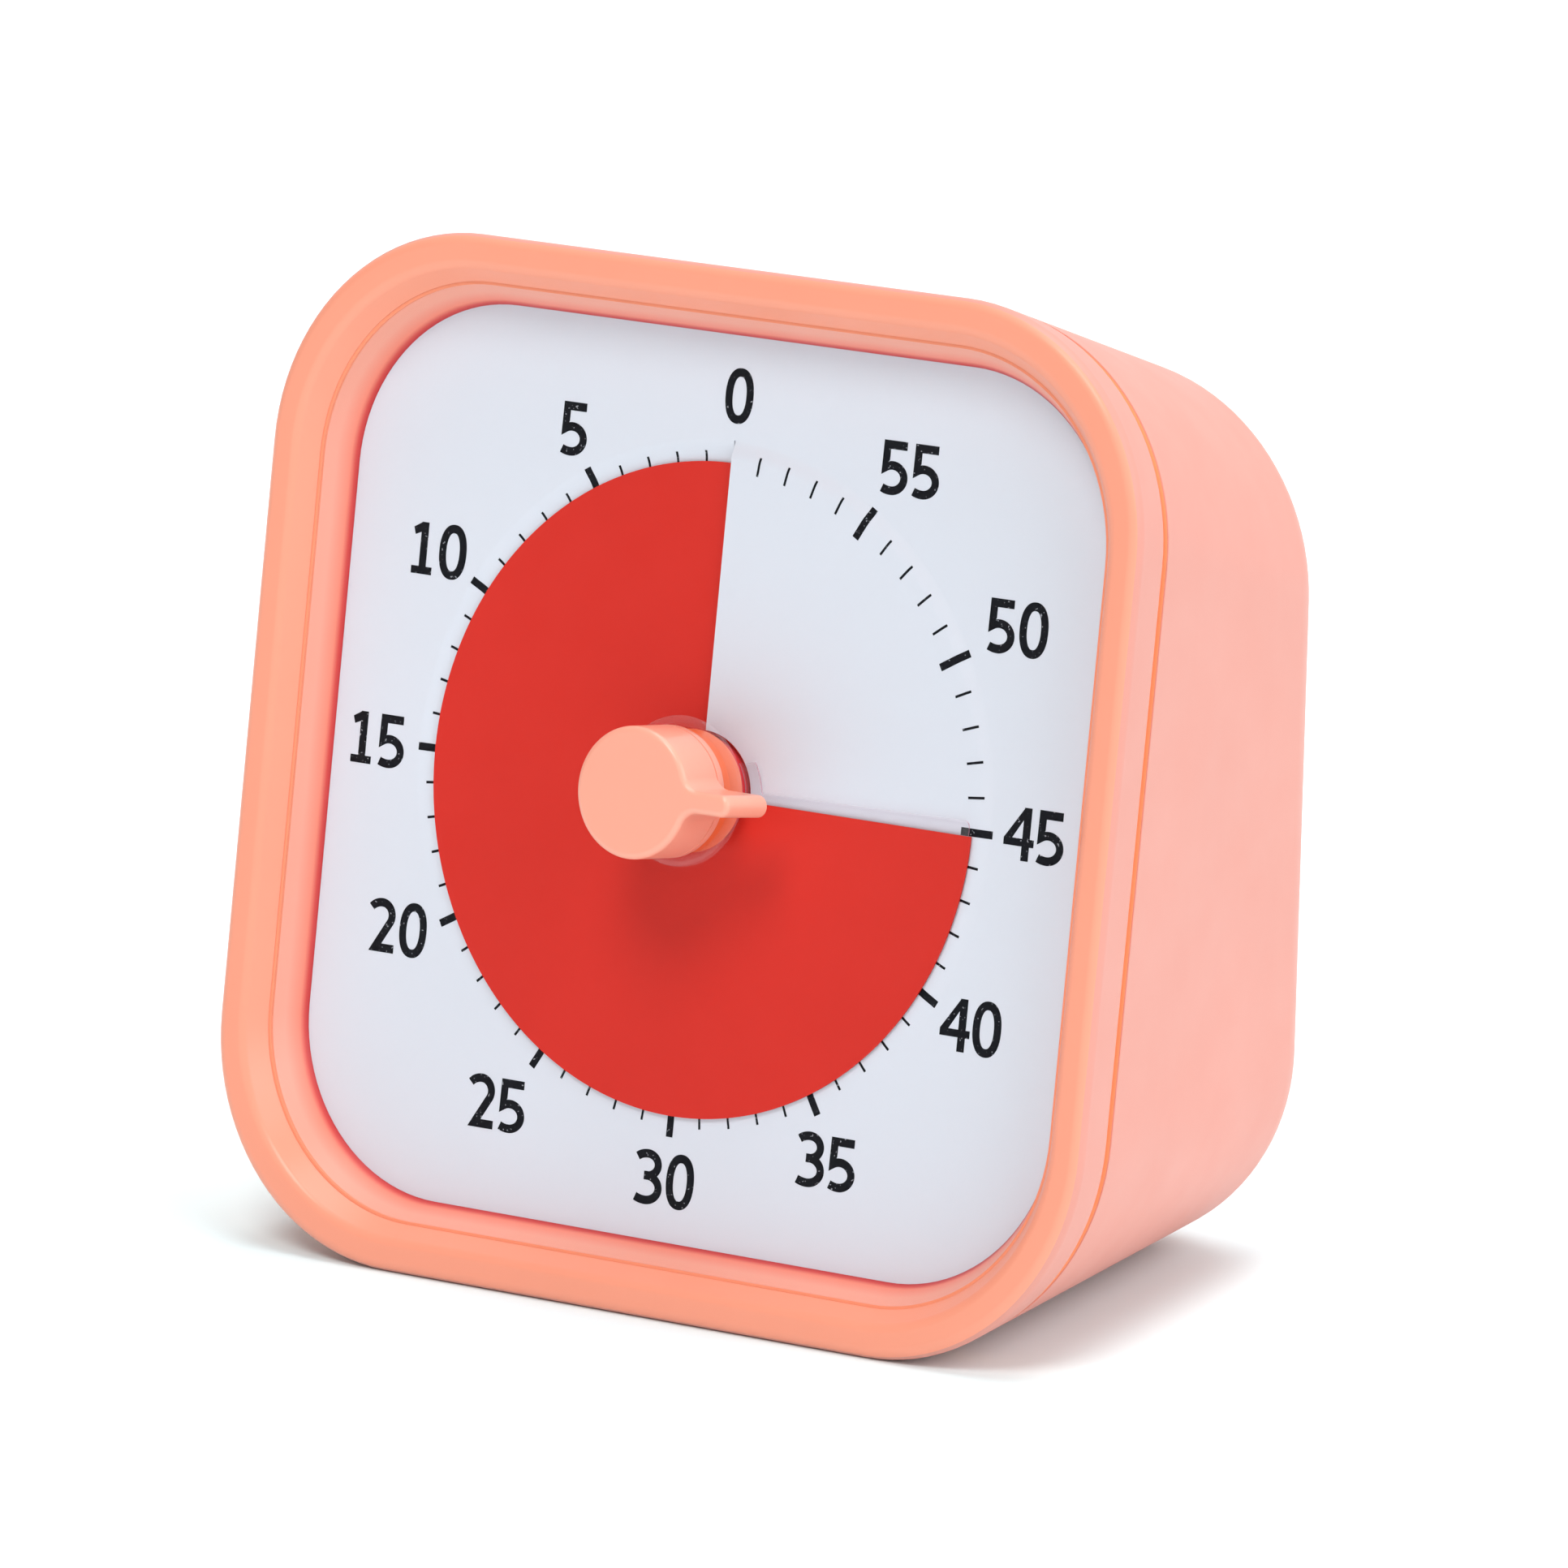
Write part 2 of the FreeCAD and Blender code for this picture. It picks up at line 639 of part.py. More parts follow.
# Movement
def gear(teeth, y0, y1, centre, tooth_at, bore):
    """An involute gear with short teeth. One tooth points along tooth_at, in radians from +X towards +Z."""
    pitch_r = MODULE * teeth / 2
    base_r = pitch_r * math.cos(math.radians(20))
    tip_r = pitch_r + 0.7 * MODULE
    root_r = pitch_r - 1.05 * MODULE
    backlash = 0.10
    half_pitch = math.pi / (2 * teeth) - backlash / (2 * pitch_r)

    def involute(radius):
        if radius <= base_r:
            return 0.0
        angle = math.acos(base_r / radius)
        return math.tan(angle) - angle

    flank = [root_r] + steps(max(base_r, root_r + 0.05), tip_r, 4)
    offset = half_pitch + involute(pitch_r)
    points = []
    for tooth in range(teeth):
        middle = tooth_at + 2 * math.pi * tooth / teeth
        rising = [(radius, middle - offset + involute(radius)) for radius in flank]
        falling = [(radius, middle + offset - involute(radius)) for radius in reversed(flank)]
        points += rising + falling
    corners = [
        Vector(centre[0] + radius * math.cos(angle), y0, centre[1] + radius * math.sin(angle))
        for radius, angle in points
    ]
    wheel = Part.Face(Part.makePolygon(corners + [corners[0]])).extrude(Vector(0, y1 - y0, 0))
    return wheel.cut(rod(bore, y0 - 1, y1 + 1, centre))


def heading(start, end):
    return math.atan2(end[1] - start[1], end[0] - start[0])


def half_tooth(teeth):
    return math.pi / teeth


def spokes(wheel, y0, y1, centre, r_in, r_out, count):
    """Cuts round windows in a wheel."""
    middle = (r_in + r_out) / 2
    for step in range(count):
        angle = 2 * math.pi * (step + 0.5) / count
        spot = (centre[0] + middle * math.cos(angle), centre[1] + middle * math.sin(angle))
        wheel = wheel.cut(rod((r_out - r_in) / 2, y0 - 1, y1 + 1, spot))
    return wheel


CENTRE = (0.0, 0.0)
CENTRE_WHEEL_Y = (6.0, 7.0)
THIRD_PINION_Y = (5.7, 7.3)
THIRD_WHEEL_Y = (8.2, 9.0)
ROTOR_PINION_Y = (7.9, 9.3)
MAGNET_Y = (10.0, 12.0)
MAGNET_R = 3.2
MOVEMENT_INSIDE = MOVEMENT_BACK - MOVEMENT_WALL


def centre_wheel():
    wheel = gear(CENTRE_TEETH, *CENTRE_WHEEL_Y, CENTRE, heading(CENTRE, THIRD_AXIS), SHAFT_R)
    wheel = spokes(wheel, *CENTRE_WHEEL_Y, CENTRE, 4.4, 9.6, 5)
    return wheel.fuse(tube(3.0, SHAFT_R, 5.2, 7.6)).removeSplitter()


def clutch_spring():
    disc = tube(3.9, SHAFT_R, 7.6, 7.9)
    for step in range(3):
        angle = 2 * math.pi * step / 3
        spot = (2.8 * math.cos(angle), 2.8 * math.sin(angle))
        disc = disc.cut(rod(0.5, 7.0, 8.5, spot))
    return disc


def clutch_washer():
    return tube(2.6, SHAFT_R, 7.9, 8.7)


def third_wheel():
    to_centre = heading(THIRD_AXIS, CENTRE)
    to_rotor = heading(THIRD_AXIS, ROTOR_AXIS)
    pinion = gear(
        THIRD_PINION_TEETH, THIRD_PINION_Y[0], THIRD_WHEEL_Y[0], THIRD_AXIS,
        to_centre + half_tooth(THIRD_PINION_TEETH), ARBOR_R,
    )
    pinion = pinion.common(between(THIRD_PINION_Y[0], THIRD_PINION_Y[1]))
    barrel = tube(1.8, ARBOR_R, THIRD_PINION_Y[1], THIRD_WHEEL_Y[0], THIRD_AXIS)
    wheel = gear(THIRD_TEETH, *THIRD_WHEEL_Y, THIRD_AXIS, to_rotor, ARBOR_R)
    wheel = spokes(wheel, *THIRD_WHEEL_Y, THIRD_AXIS, 3.4, 8.2, 5)
    return pinion.fuse(barrel).fuse(wheel).removeSplitter()


def third_arbor():
    return rod(ARBOR_R, 4.7, 13.2, THIRD_AXIS)


def rotor_pinion():
    to_third = heading(ROTOR_AXIS, THIRD_AXIS)
    pinion = gear(ROTOR_TEETH, *ROTOR_PINION_Y, ROTOR_AXIS, to_third + half_tooth(ROTOR_TEETH), 0.5)
    arbor = rod(0.5, 4.7, 13.2, ROTOR_AXIS)
    return pinion.fuse(tube(1.4, 0.4, ROTOR_PINION_Y[1], MAGNET_Y[0], ROTOR_AXIS)).fuse(arbor).removeSplitter()


def rotor_magnet():
    return tube(MAGNET_R, 0.5, *MAGNET_Y, ROTOR_AXIS)


STATOR_Y = (10.4, 11.4)
COIL_TOP = 17.9


def stator():
    y0, y1 = STATOR_Y
    pole = block((-28.6, y0, -17.4), (-14.6, y1, -4.6))
    side = block((-17.6, y0, -5.0), (-14.6, y1, COIL_TOP))
    top = block((-28.6, y0, COIL_TOP - 3.8), (-14.6, y1, COIL_TOP))
    plate = pole.fuse(side).fuse(top).removeSplitter()
    return plate.cut(rod(MAGNET_R + 0.5, 8.0, 14.0, ROTOR_AXIS))


COIL_X = -24.4
BOBBIN_Z = (-4.0, 13.2)
FLANGE = 0.8


def coil_core():
    y0, y1 = STATOR_Y
    return block((COIL_X - 1.4, y1, -8.0), (COIL_X + 1.4, y1 + 0.9, COIL_TOP))


def coil_rod(radius, z0, z1):
    y = STATOR_Y[1] + 0.45
    return Part.makeCylinder(radius, z1 - z0, Vector(COIL_X, y, z0), Vector(0, 0, 1))


def coil_bobbin():
    low, high = BOBBIN_Z
    body = coil_rod(1.72, low, high)
    for z0 in (low, high - FLANGE):
        flange = coil_rod(2.95, z0, z0 + FLANGE)
        body = body.fuse(flange)
    y0, y1 = STATOR_Y
    core_hole = block((COIL_X - 1.45, y1 - 0.05, -30), (COIL_X + 1.45, y1 + 0.95, 30))
    side = block((COIL_X - 5, 0, -30), (COIL_X + 5, MOVEMENT_INSIDE, 30))
    return body.common(side).cut(core_hole).removeSplitter()


def coil_winding():
    low, high = BOBBIN_Z
    wound = coil_rod(2.6, low + FLANGE + 0.1, high - FLANGE - 0.1).cut(coil_rod(1.75, low, high))
    side = block((COIL_X - 5, 0, -30), (COIL_X + 5, MOVEMENT_INSIDE, 30))
    return wound.common(side)


MOVEMENT_CENTRE = (
    (MOVEMENT_LOW[0] + MOVEMENT_HIGH[0]) / 2,
    (MOVEMENT_LOW[1] + MOVEMENT_HIGH[1]) / 2,
)
MOVEMENT_HALF = (
    (MOVEMENT_HIGH[0] - MOVEMENT_LOW[0]) / 2,
    (MOVEMENT_HIGH[1] - MOVEMENT_LOW[1]) / 2,
)
SCREW_INSET = 3.4
MOVEMENT_SCREWS = tuple(
    (
        MOVEMENT_CENTRE[0] + side_x * (MOVEMENT_HALF[0] - SCREW_INSET),
        MOVEMENT_CENTRE[1] + side_z * (MOVEMENT_HALF[1] - SCREW_INSET),
    )
    for side_x in (-1, 1)
    for side_z in (-1, 1)
)


def movement_shell(y0, y1, floor_y0, floor_y1):
    """An open box with a floor between floor_y0 and floor_y1, a screw post in each corner."""
    outer = slab(*MOVEMENT_HALF, MOVEMENT_CORNER_R, y0, y1, MOVEMENT_CENTRE)
    inner = slab(
        MOVEMENT_HALF[0] - MOVEMENT_WALL,
        MOVEMENT_HALF[1] - MOVEMENT_WALL,
        MOVEMENT_CORNER_R - MOVEMENT_WALL,
        floor_y0,
        floor_y1,
        MOVEMENT_CENTRE,
    )
    shell = outer.cut(inner)
    for at in MOVEMENT_SCREWS:
        shell = shell.fuse(rod(2.3, y0, y1, at).common(outer)).cut(rod(SCREW_HOLE_R, y0 - 1, y1 + 1, at))
    return shell


def movement_case_front():
    shell = movement_shell(
        BACKPLATE_BACK, MOVEMENT_SPLIT, BACKPLATE_BACK + MOVEMENT_WALL, MOVEMENT_SPLIT + 1
    )
    shell = shell.cut(rod(3.0, 0.0, 6.0))
    for at in (THIRD_AXIS, ROTOR_AXIS):
        post = rod(1.5, BACKPLATE_BACK + 1, 5.3, at)
        shell = shell.fuse(post).cut(rod(ARBOR_R + 0.05, 4.5, 6.0, at))
    return shell.removeSplitter()


def movement_case_rear():
    shell = movement_shell(MOVEMENT_SPLIT, MOVEMENT_BACK, MOVEMENT_SPLIT - 1, MOVEMENT_INSIDE)
    shell = shell.cut(rod(0.8 + 0.06, 12.0, MOVEMENT_INSIDE + 0.7))
    for at in (THIRD_AXIS, ROTOR_AXIS):
        post = rod(1.5, 12.4, MOVEMENT_INSIDE + 0.2, at)
        shell = shell.fuse(post).cut(rod(ARBOR_R + 0.05, 12.0, 13.5, at))
    return shell.removeSplitter()


def shaft_bushing():
    flange = tube(4.2, SHAFT_R + 0.05, BACKPLATE_BACK + MOVEMENT_WALL, 4.8)
    return flange.fuse(tube(2.98, SHAFT_R + 0.05, BACKPLATE_BACK - 0.9, 4.4)).removeSplitter()


FACE_PARTS = {
    "front_frame": front_frame,
    "lens": lens,
    "dial_surround": dial_surround,
    "dial_card": dial_card,
    "red_disk": red_disk,
    "disk_hub": disk_hub,
    "dial_backplate": dial_backplate,
    "sleeve": sleeve,
    "knob": knob,
    "knob_stem": knob_stem,
    "shaft": shaft,
    "shaft_bushing": shaft_bushing,
    "centre_wheel": centre_wheel,
    "clutch_spring": clutch_spring,
    "clutch_washer": clutch_washer,
    "third_wheel": third_wheel,
    "third_arbor": third_arbor,
    "rotor_pinion": rotor_pinion,
    "rotor_magnet": rotor_magnet,
    "stator": stator,
    "coil_core": coil_core,
    "coil_bobbin": coil_bobbin,
    "coil_winding": coil_winding,
    "movement_case_front": movement_case_front,
    "movement_case_rear": movement_case_rear,
    "movement_screws": lambda: screw_group(MOVEMENT_BACK + 0.8, -1, 13.6, MOVEMENT_SCREWS),
}

ROW_PARTS = {
    "inner_housing": inner_housing,
    "rear_cover": rear_cover,
    "rear_cover_screws": lambda: screw_group(BACK_Y - COVER_OUTSIDE, -1, 6.0, COVER_SCREWS),
    "battery_door": battery_door,
    "battery_tray": battery_tray,
    "battery_cell": battery_cell,
    "contact_spring": contact_spring,
    "contact_plate": contact_plate,
    "circuit_board": circuit_board,
    "crystal_can": lambda: on_board((6.0, 40.0), (14.0, 42.4, 2.4), True),
    "driver_chip": lambda: on_board((-6.0, 41.0), (0.0, 47.0, 1.4), True),
    "buzzer": buzzer,
    "switch_body": switch_body,
    "switch_slider": switch_slider,
    "board_screws": lambda: screw_group(
        BACK_Y - BOARD_BACK - BOARD_THICKNESS - 0.8, 1, 5.0, BOARD_SCREWS
    ),
}

if __name__ == "__main__":
    for name, make in FACE_PARTS.items():
        save(name, stand(make()))
    for name, make in ROW_PARTS.items():
        save(name, make())
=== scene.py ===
"""Meshes, materials, light and camera for the square countdown timer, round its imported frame.

Lengths are in millimetres in the face frame unless a comment says otherwise. Its origin is the
dial's centre on the dial plane, X to the right, Z up along the face and Y into the body. place()
turns such a point into the row frame, in metres. Angles on the dial run anticlockwise from
12 o'clock, as its minutes do.
"""
import json
import math

import bmesh
import bpy
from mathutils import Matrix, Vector
from mathutils.geometry import delaunay_2d_cdt


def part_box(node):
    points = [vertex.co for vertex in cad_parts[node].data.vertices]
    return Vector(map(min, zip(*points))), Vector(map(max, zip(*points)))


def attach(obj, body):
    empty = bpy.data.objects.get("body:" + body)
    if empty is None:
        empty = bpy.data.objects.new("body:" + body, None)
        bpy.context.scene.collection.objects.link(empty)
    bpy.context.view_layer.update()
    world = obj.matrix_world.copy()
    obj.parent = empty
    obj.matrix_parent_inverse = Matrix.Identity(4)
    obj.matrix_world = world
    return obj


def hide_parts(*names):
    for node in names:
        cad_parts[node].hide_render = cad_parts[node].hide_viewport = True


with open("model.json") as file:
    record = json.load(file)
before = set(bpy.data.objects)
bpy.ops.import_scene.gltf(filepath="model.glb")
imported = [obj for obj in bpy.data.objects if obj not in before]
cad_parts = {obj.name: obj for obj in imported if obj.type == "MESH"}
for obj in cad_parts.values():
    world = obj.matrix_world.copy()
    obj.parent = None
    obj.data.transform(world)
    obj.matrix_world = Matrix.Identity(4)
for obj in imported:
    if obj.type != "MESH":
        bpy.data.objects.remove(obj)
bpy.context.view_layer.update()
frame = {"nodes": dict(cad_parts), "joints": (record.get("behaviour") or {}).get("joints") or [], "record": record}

MM = 0.001

# The face frame, from the knob's joint
knob_joint = next(joint for joint in frame["joints"] if joint["name"] == "knob_turn")
DIAL_CENTRE = Vector(knob_joint["pos_m"])
OUTWARD = Vector(knob_joint["axis"]).normalized()
ACROSS = Vector((1, 0, 0))
UPWARD = OUTWARD.cross(ACROSS)
LEAN = math.asin(OUTWARD.z)
TAPER = math.tan(LEAN)


def place(x, y, z):
    return DIAL_CENTRE + (ACROSS * x - OUTWARD * y + UPWARD * z) * MM


def from_row(point):
    """Row frame in metres to the face frame."""
    reach = (Vector(point) - DIAL_CENTRE) / MM
    return Vector((reach.dot(ACROSS), -reach.dot(OUTWARD), reach.dot(UPWARD)))


def span(node):
    """A node's lowest and highest face-frame coordinates."""
    points = [from_row(vertex.co) for vertex in frame["nodes"][node].data.vertices]
    low = Vector([min(point[axis] for point in points) for axis in range(3)])
    high = Vector([max(point[axis] for point in points) for axis in range(3)])
    return low, high


# Sizes that come from the frame
FACE_PLANE = span("front_frame")[0].y
SPIGOT_END = span("front_frame")[1].y
GROOVE_FRONT = span("sleeve")[0].y
BACK_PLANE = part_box("sleeve")[1].y          # row frame, metres
LENS_COLLAR_FRONT = span("lens")[0].y
LENS_BACK = span("lens")[1].y
CARD_HALF = span("dial_card")[1].x
FILM_R = span("red_disk")[1].z - 0.2        # short of the CAD disk, to show more of the ticks
KNOB_FRONT = span("knob")[0].y
KNOB_BACK = span("knob")[1].y
KNOB_R = -span("knob")[0].x
FIN_REACH = span("knob")[1].x
HUB_R = span("disk_hub")[1].x
COVER_LOW, COVER_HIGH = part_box("rear_cover")
DOOR_LOW, DOOR_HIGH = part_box("battery_door")

# Sizes of the details
FRONT_HALF = 44.5              # where the sides would meet the front plane, before the edge is rounded
FRONT_CORNER_R = 19.6
CORNER_SHRINK = 0.022
FRONT_EDGE_R = 1.0
BACK_EDGE_R = 6.7
WALL = 1.8
LAND_INSET = 2.55
BAND_START = (3.05, 0.22)      # inset, and depth behind the front plane
BAND_INSET = 4.25
OPENING_HALF = 38.4
OPENING_CORNER_R = 15.0
CARD_CORNER_R = OPENING_CORNER_R + 1.3
FIT_GAP = 0.12                 # between the front ring and the parts it fits against
LENS_FRONT = LENS_BACK - 1.0
WALL_INSET = 4.32
SEAT_INSET = 3.65
GROOVE_BACK = 0.95
GROOVE_DEPTH = 0.5
COLLAR_R = 6.3
COLLAR_BORE_R = 5.4

CARD_THICKNESS = 0.25
FILM_THICKNESS = 0.15
FILM_GAP = 0.16
PITCH = CARD_THICKNESS + FILM_THICKNESS + 2 * FILM_GAP
CARD_HOLE_R = 5.1
SLIT_R = 29.6
WARP_R = 28.0                  # from here to the end of the slit the helix fades out
WARP_STOPS = [WARP_R + 0.2 * step for step in range(8)]
TURN_STEPS = 240
FILM_TURN = 358                # degrees from the film's trailing edge to the pointer's line
FILM_HUB_GAP = 0.06
REST_DEG = 270.0
INK = 0.012                    # thickness of the print
INK_SUNK = 0.004               # how far its underside is in the card

ARC_STEPS = 24                 # along each corner and each side of a square loop
LOOP_STEPS = 4 * 2 * ARC_STEPS
SHARP_DEG = 32.0
ROUND_LIMIT = 0.48             # the most of a side that a rounding takes up
MID_ROUND = 0.3                # a small rounding's middle row, as a share of its radius


# Mesh helpers
def make_piece(name, body, points, faces, materials, face_slots=None):
    """points are in the face frame. The piece rides on the body."""
    mesh = bpy.data.meshes.new(name)
    mesh.from_pydata([place(*point) for point in points], [], faces)
    for material in materials:
        mesh.materials.append(material)
    if face_slots:
        mesh.polygons.foreach_set("material_index", face_slots)
    mesh.validate()
    mesh.shade_smooth()
    mesh.set_sharp_from_angle(angle=math.radians(SHARP_DEG))
    piece = bpy.data.objects.new(name, mesh)
    bpy.context.scene.collection.objects.link(piece)
    face_out(piece)
    even = piece.modifiers.new("even_normals", "WEIGHTED_NORMAL")
    even.keep_sharp = True
    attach(piece, body)
    return piece


def face_out(piece):
    """Turns every face outwards."""
    work = bmesh.new()
    work.from_mesh(piece.data)
    bmesh.ops.recalc_face_normals(work, faces=work.faces)
    work.to_mesh(piece.data)
    work.free()


def square_outline(half_x, half_z, radius):
    """A rounded rectangle, anticlockwise from the right: (x, z, angle of its outward normal)."""
    points = []
    ix, iz = half_x - radius, half_z - radius
    corners = ((ix, iz), (-ix, iz), (-ix, -iz), (ix, -iz))
    for quarter, (cx, cz) in enumerate(corners):
        turn = quarter * math.pi / 2
        for step in range(ARC_STEPS):
            angle = turn + math.pi / 2 * step / ARC_STEPS
            points.append((cx + radius * math.cos(angle), cz + radius * math.sin(angle), angle))
        angle = turn + math.pi / 2
        dx, dz = radius * math.cos(angle), radius * math.sin(angle)
        nx, nz = corners[(quarter + 1) % 4]
        (x0, z0), (x1, z1) = (cx + dx, cz + dz), (nx + dx, nz + dz)
        for step in range(ARC_STEPS):
            share = step / ARC_STEPS
            points.append((x0 + (x1 - x0) * share, z0 + (z1 - z0) * share, angle))
    return points


def round_outline(radius, centre=(0.0, 0.0), count=LOOP_STEPS):
    """A circle whose points pair with a square outline's."""
    cx, cz = centre
    angles = (math.pi / 8 + 2 * math.pi * step / count for step in range(count))
    return [(cx + radius * math.cos(angle), cz + radius * math.sin(angle)) for angle in angles]


def loop(y, half, corner):
    """A rounded square at depth y, or a circle where the corner is as large as the half side."""
    outline = round_outline(half) if corner >= half else square_outline(half, half, corner)
    return [Vector((point[0], y, point[1])) for point in outline]


def bridge(loops, closed):
    """Points and quads between loops of equal length. A closed stack joins its last loop to its
    first, and an open one has its two ends capped."""
    count = len(loops[0])
    points = [point for ring in loops for point in ring]
    faces = []
    last = len(loops) if closed else len(loops) - 1
    for row in range(last):
        base, above = row * count, ((row + 1) % len(loops)) * count
        for step in range(count):
            after = (step + 1) % count
            faces.append((base + step, base + after, above + after, above + step))
    if not closed:
        faces.append(tuple(range(count)))
        faces.append(tuple(range((len(loops) - 1) * count, len(loops) * count)))
    return points, faces


def rounded(section, steps=5):
    """Rounds a closed section. Its corners are (y, half, corner radius, rounding)."""
    result = []
    for index, (y, half, corner, rounding) in enumerate(section):
        if rounding == 0:
            result.append((y, half, corner))
            continue
        here = Vector((y, half, corner))
        before = Vector(section[index - 1][:3])
        after = Vector(section[(index + 1) % len(section)][:3])
        back, ahead = before - here, after - here
        flat_back, flat_ahead = back.xy.length, ahead.xy.length
        inner = back.xy.angle(ahead.xy)
        most = ROUND_LIMIT * min(flat_back, flat_ahead)
        tangent = min(rounding / math.tan(inner / 2), most)
        start = here + back * (tangent / flat_back)
        end = here + ahead * (tangent / flat_ahead)
        weight = math.sin(inner / 2)
        for step in range(steps + 1):
            # a rational quadratic with this weight is an exact arc, like the CAD's fillet
            share = step / steps
            one, two, three = (1 - share) ** 2, 2 * weight * share * (1 - share), share ** 2
            result.append(tuple((start * one + here * two + end * three) / (one + two + three)))
    return result


def half_at(y):
    return FRONT_HALF - TAPER * (y - FACE_PLANE)


def corner_at(y):
    return FRONT_CORNER_R - CORNER_SHRINK * (y - FACE_PLANE)


def outer_line(y, inset=0.0, rounding=0.0):
    return (y, half_at(y) - inset, corner_at(y) - inset, rounding)


def outer_loop(y, inset=0.0):
    return loop(*outer_line(y, inset)[:3])


def inner_line(y, inset, rounding=0.0):
    share = inset / (FRONT_HALF - OPENING_HALF)
    corner = FRONT_CORNER_R + (OPENING_CORNER_R - FRONT_CORNER_R) * share
    return (y, FRONT_HALF - inset, corner, rounding)


def wall_inset(y):
    share = (y - LENS_FRONT) / -LENS_FRONT
    return WALL_INSET + (FRONT_HALF - OPENING_HALF - WALL_INSET) * share


def ring_piece(name, body, section, material):
    loops = [loop(*line) for line in rounded(section)]
    return make_piece(name, body, *bridge(loops, True), [material])


def row_slots(faces, slot_of):
    """Each face's material slot, from the row of the stack that it is in."""
    return [slot_of(index // LOOP_STEPS) for index in range(len(faces))]


# Materials
MATERIALS = {}                          # by name; the frame's slots have the same names
NOISE_LOW, NOISE_HIGH = 0.3, 0.7        # nearly all of a noise texture's values lie between these


def set_inputs(node, **values):
    """Sets sockets by name, with underscores for spaces."""
    for socket, value in values.items():
        node.inputs[socket.replace("_", " ")].default_value = value


def scaled(colour, factor):
    return tuple(min(1.0, channel * factor) for channel in colour) + (1.0,)


class Surface:
    """A material with one Principled shader, and helpers that drive its colour, roughness and bump."""

    def __init__(self, name, roughness, **constants):
        self.material = MATERIALS[name] = bpy.data.materials.new(name)
        self.material.use_nodes = True
        self.tree = self.material.node_tree
        self.nodes = self.tree.nodes
        self.shader = self.nodes["Principled BSDF"]
        set_inputs(self.shader, Roughness=roughness, **constants)
        self.coordinates = self.nodes.new("ShaderNodeTexCoord").outputs["Object"]

    def link(self, output, target):
        self.tree.links.new(output, target)

    def noise(self, scale, detail=3.0, stretch=None):
        """Noise with features about 1/scale metres across."""
        texture = self.nodes.new("ShaderNodeTexNoise")
        set_inputs(texture, Scale=scale, Detail=detail)
        source = self.coordinates
        if stretch:
            mapping = self.nodes.new("ShaderNodeMapping")
            set_inputs(mapping, Scale=stretch)
            self.link(source, mapping.inputs["Vector"])
            source = mapping.outputs["Vector"]
        self.link(source, texture.inputs["Vector"])
        return texture.outputs["Fac"]

    def ramp(self, factor, stops):
        """stops are (place, colour) pairs."""
        node = self.nodes.new("ShaderNodeValToRGB")
        ramp = node.color_ramp
        while len(ramp.elements) < len(stops):
            ramp.elements.new(0.5)
        for element, (at, colour) in zip(ramp.elements, stops):
            element.position = at
            element.color = colour
        self.link(factor, node.inputs["Fac"])
        return node.outputs["Color"]

    def span(self, factor, low, high):
        node = self.nodes.new("ShaderNodeMapRange")
        set_inputs(node, From_Min=NOISE_LOW, From_Max=NOISE_HIGH, To_Min=low, To_Max=high)
        self.link(factor, node.inputs["Value"])
        return node.outputs["Result"]

    def colour(self, output):
        self.link(output, self.shader.inputs["Base Color"])

    def mottled(self, colour, scale, amount):
        """A colour that drifts by amount, as a moulding's does."""
        darker, lighter = scaled(colour, 1 - amount), scaled(colour, 1 + amount)
        stops = [(NOISE_LOW, darker), (NOISE_HIGH, lighter)]
        self.colour(self.ramp(self.noise(scale), stops))

    def rough(self, scale, low, high):
        self.link(self.span(self.noise(scale), low, high), self.shader.inputs["Roughness"])

    def bump(self, height, strength, distance_mm, below=None):
        node = self.nodes.new("ShaderNodeBump")
        set_inputs(node, Strength=strength, Distance=distance_mm * MM)
        self.link(height, node.inputs["Height"])
        if below:
            self.link(below, node.inputs["Normal"])
        self.link(node.outputs["Normal"], self.shader.inputs["Normal"])
        return node.outputs["Normal"]


def moulded(name, colour, roughness, grain_mm=0.12, drift=0.015, **constants):
    """Moulded plastic: a fine spark-eroded grain over a slow drift of colour and gloss."""
    surface = Surface(name, roughness, **constants)
    surface.mottled(colour, 45, drift)
    surface.rough(160, roughness - 0.04, roughness + 0.05)
    waves = surface.bump(surface.noise(60, 2.0), 0.04, 0.25)
    surface.bump(surface.noise(1 / (grain_mm * MM), 2.0), 0.16, 0.01, waves)
    return surface.material


def metal(name, colour, roughness, stretch=(1, 1, 14)):
    surface = Surface(name, roughness, Metallic=1.0)
    surface.mottled(colour, 300, 0.05)
    lines = surface.noise(900, 3.0, stretch)
    gloss = surface.span(lines, roughness - 0.06, roughness + 0.1)
    surface.link(gloss, surface.shader.inputs["Roughness"])
    surface.bump(lines, 0.12, 0.01)
    return surface.material


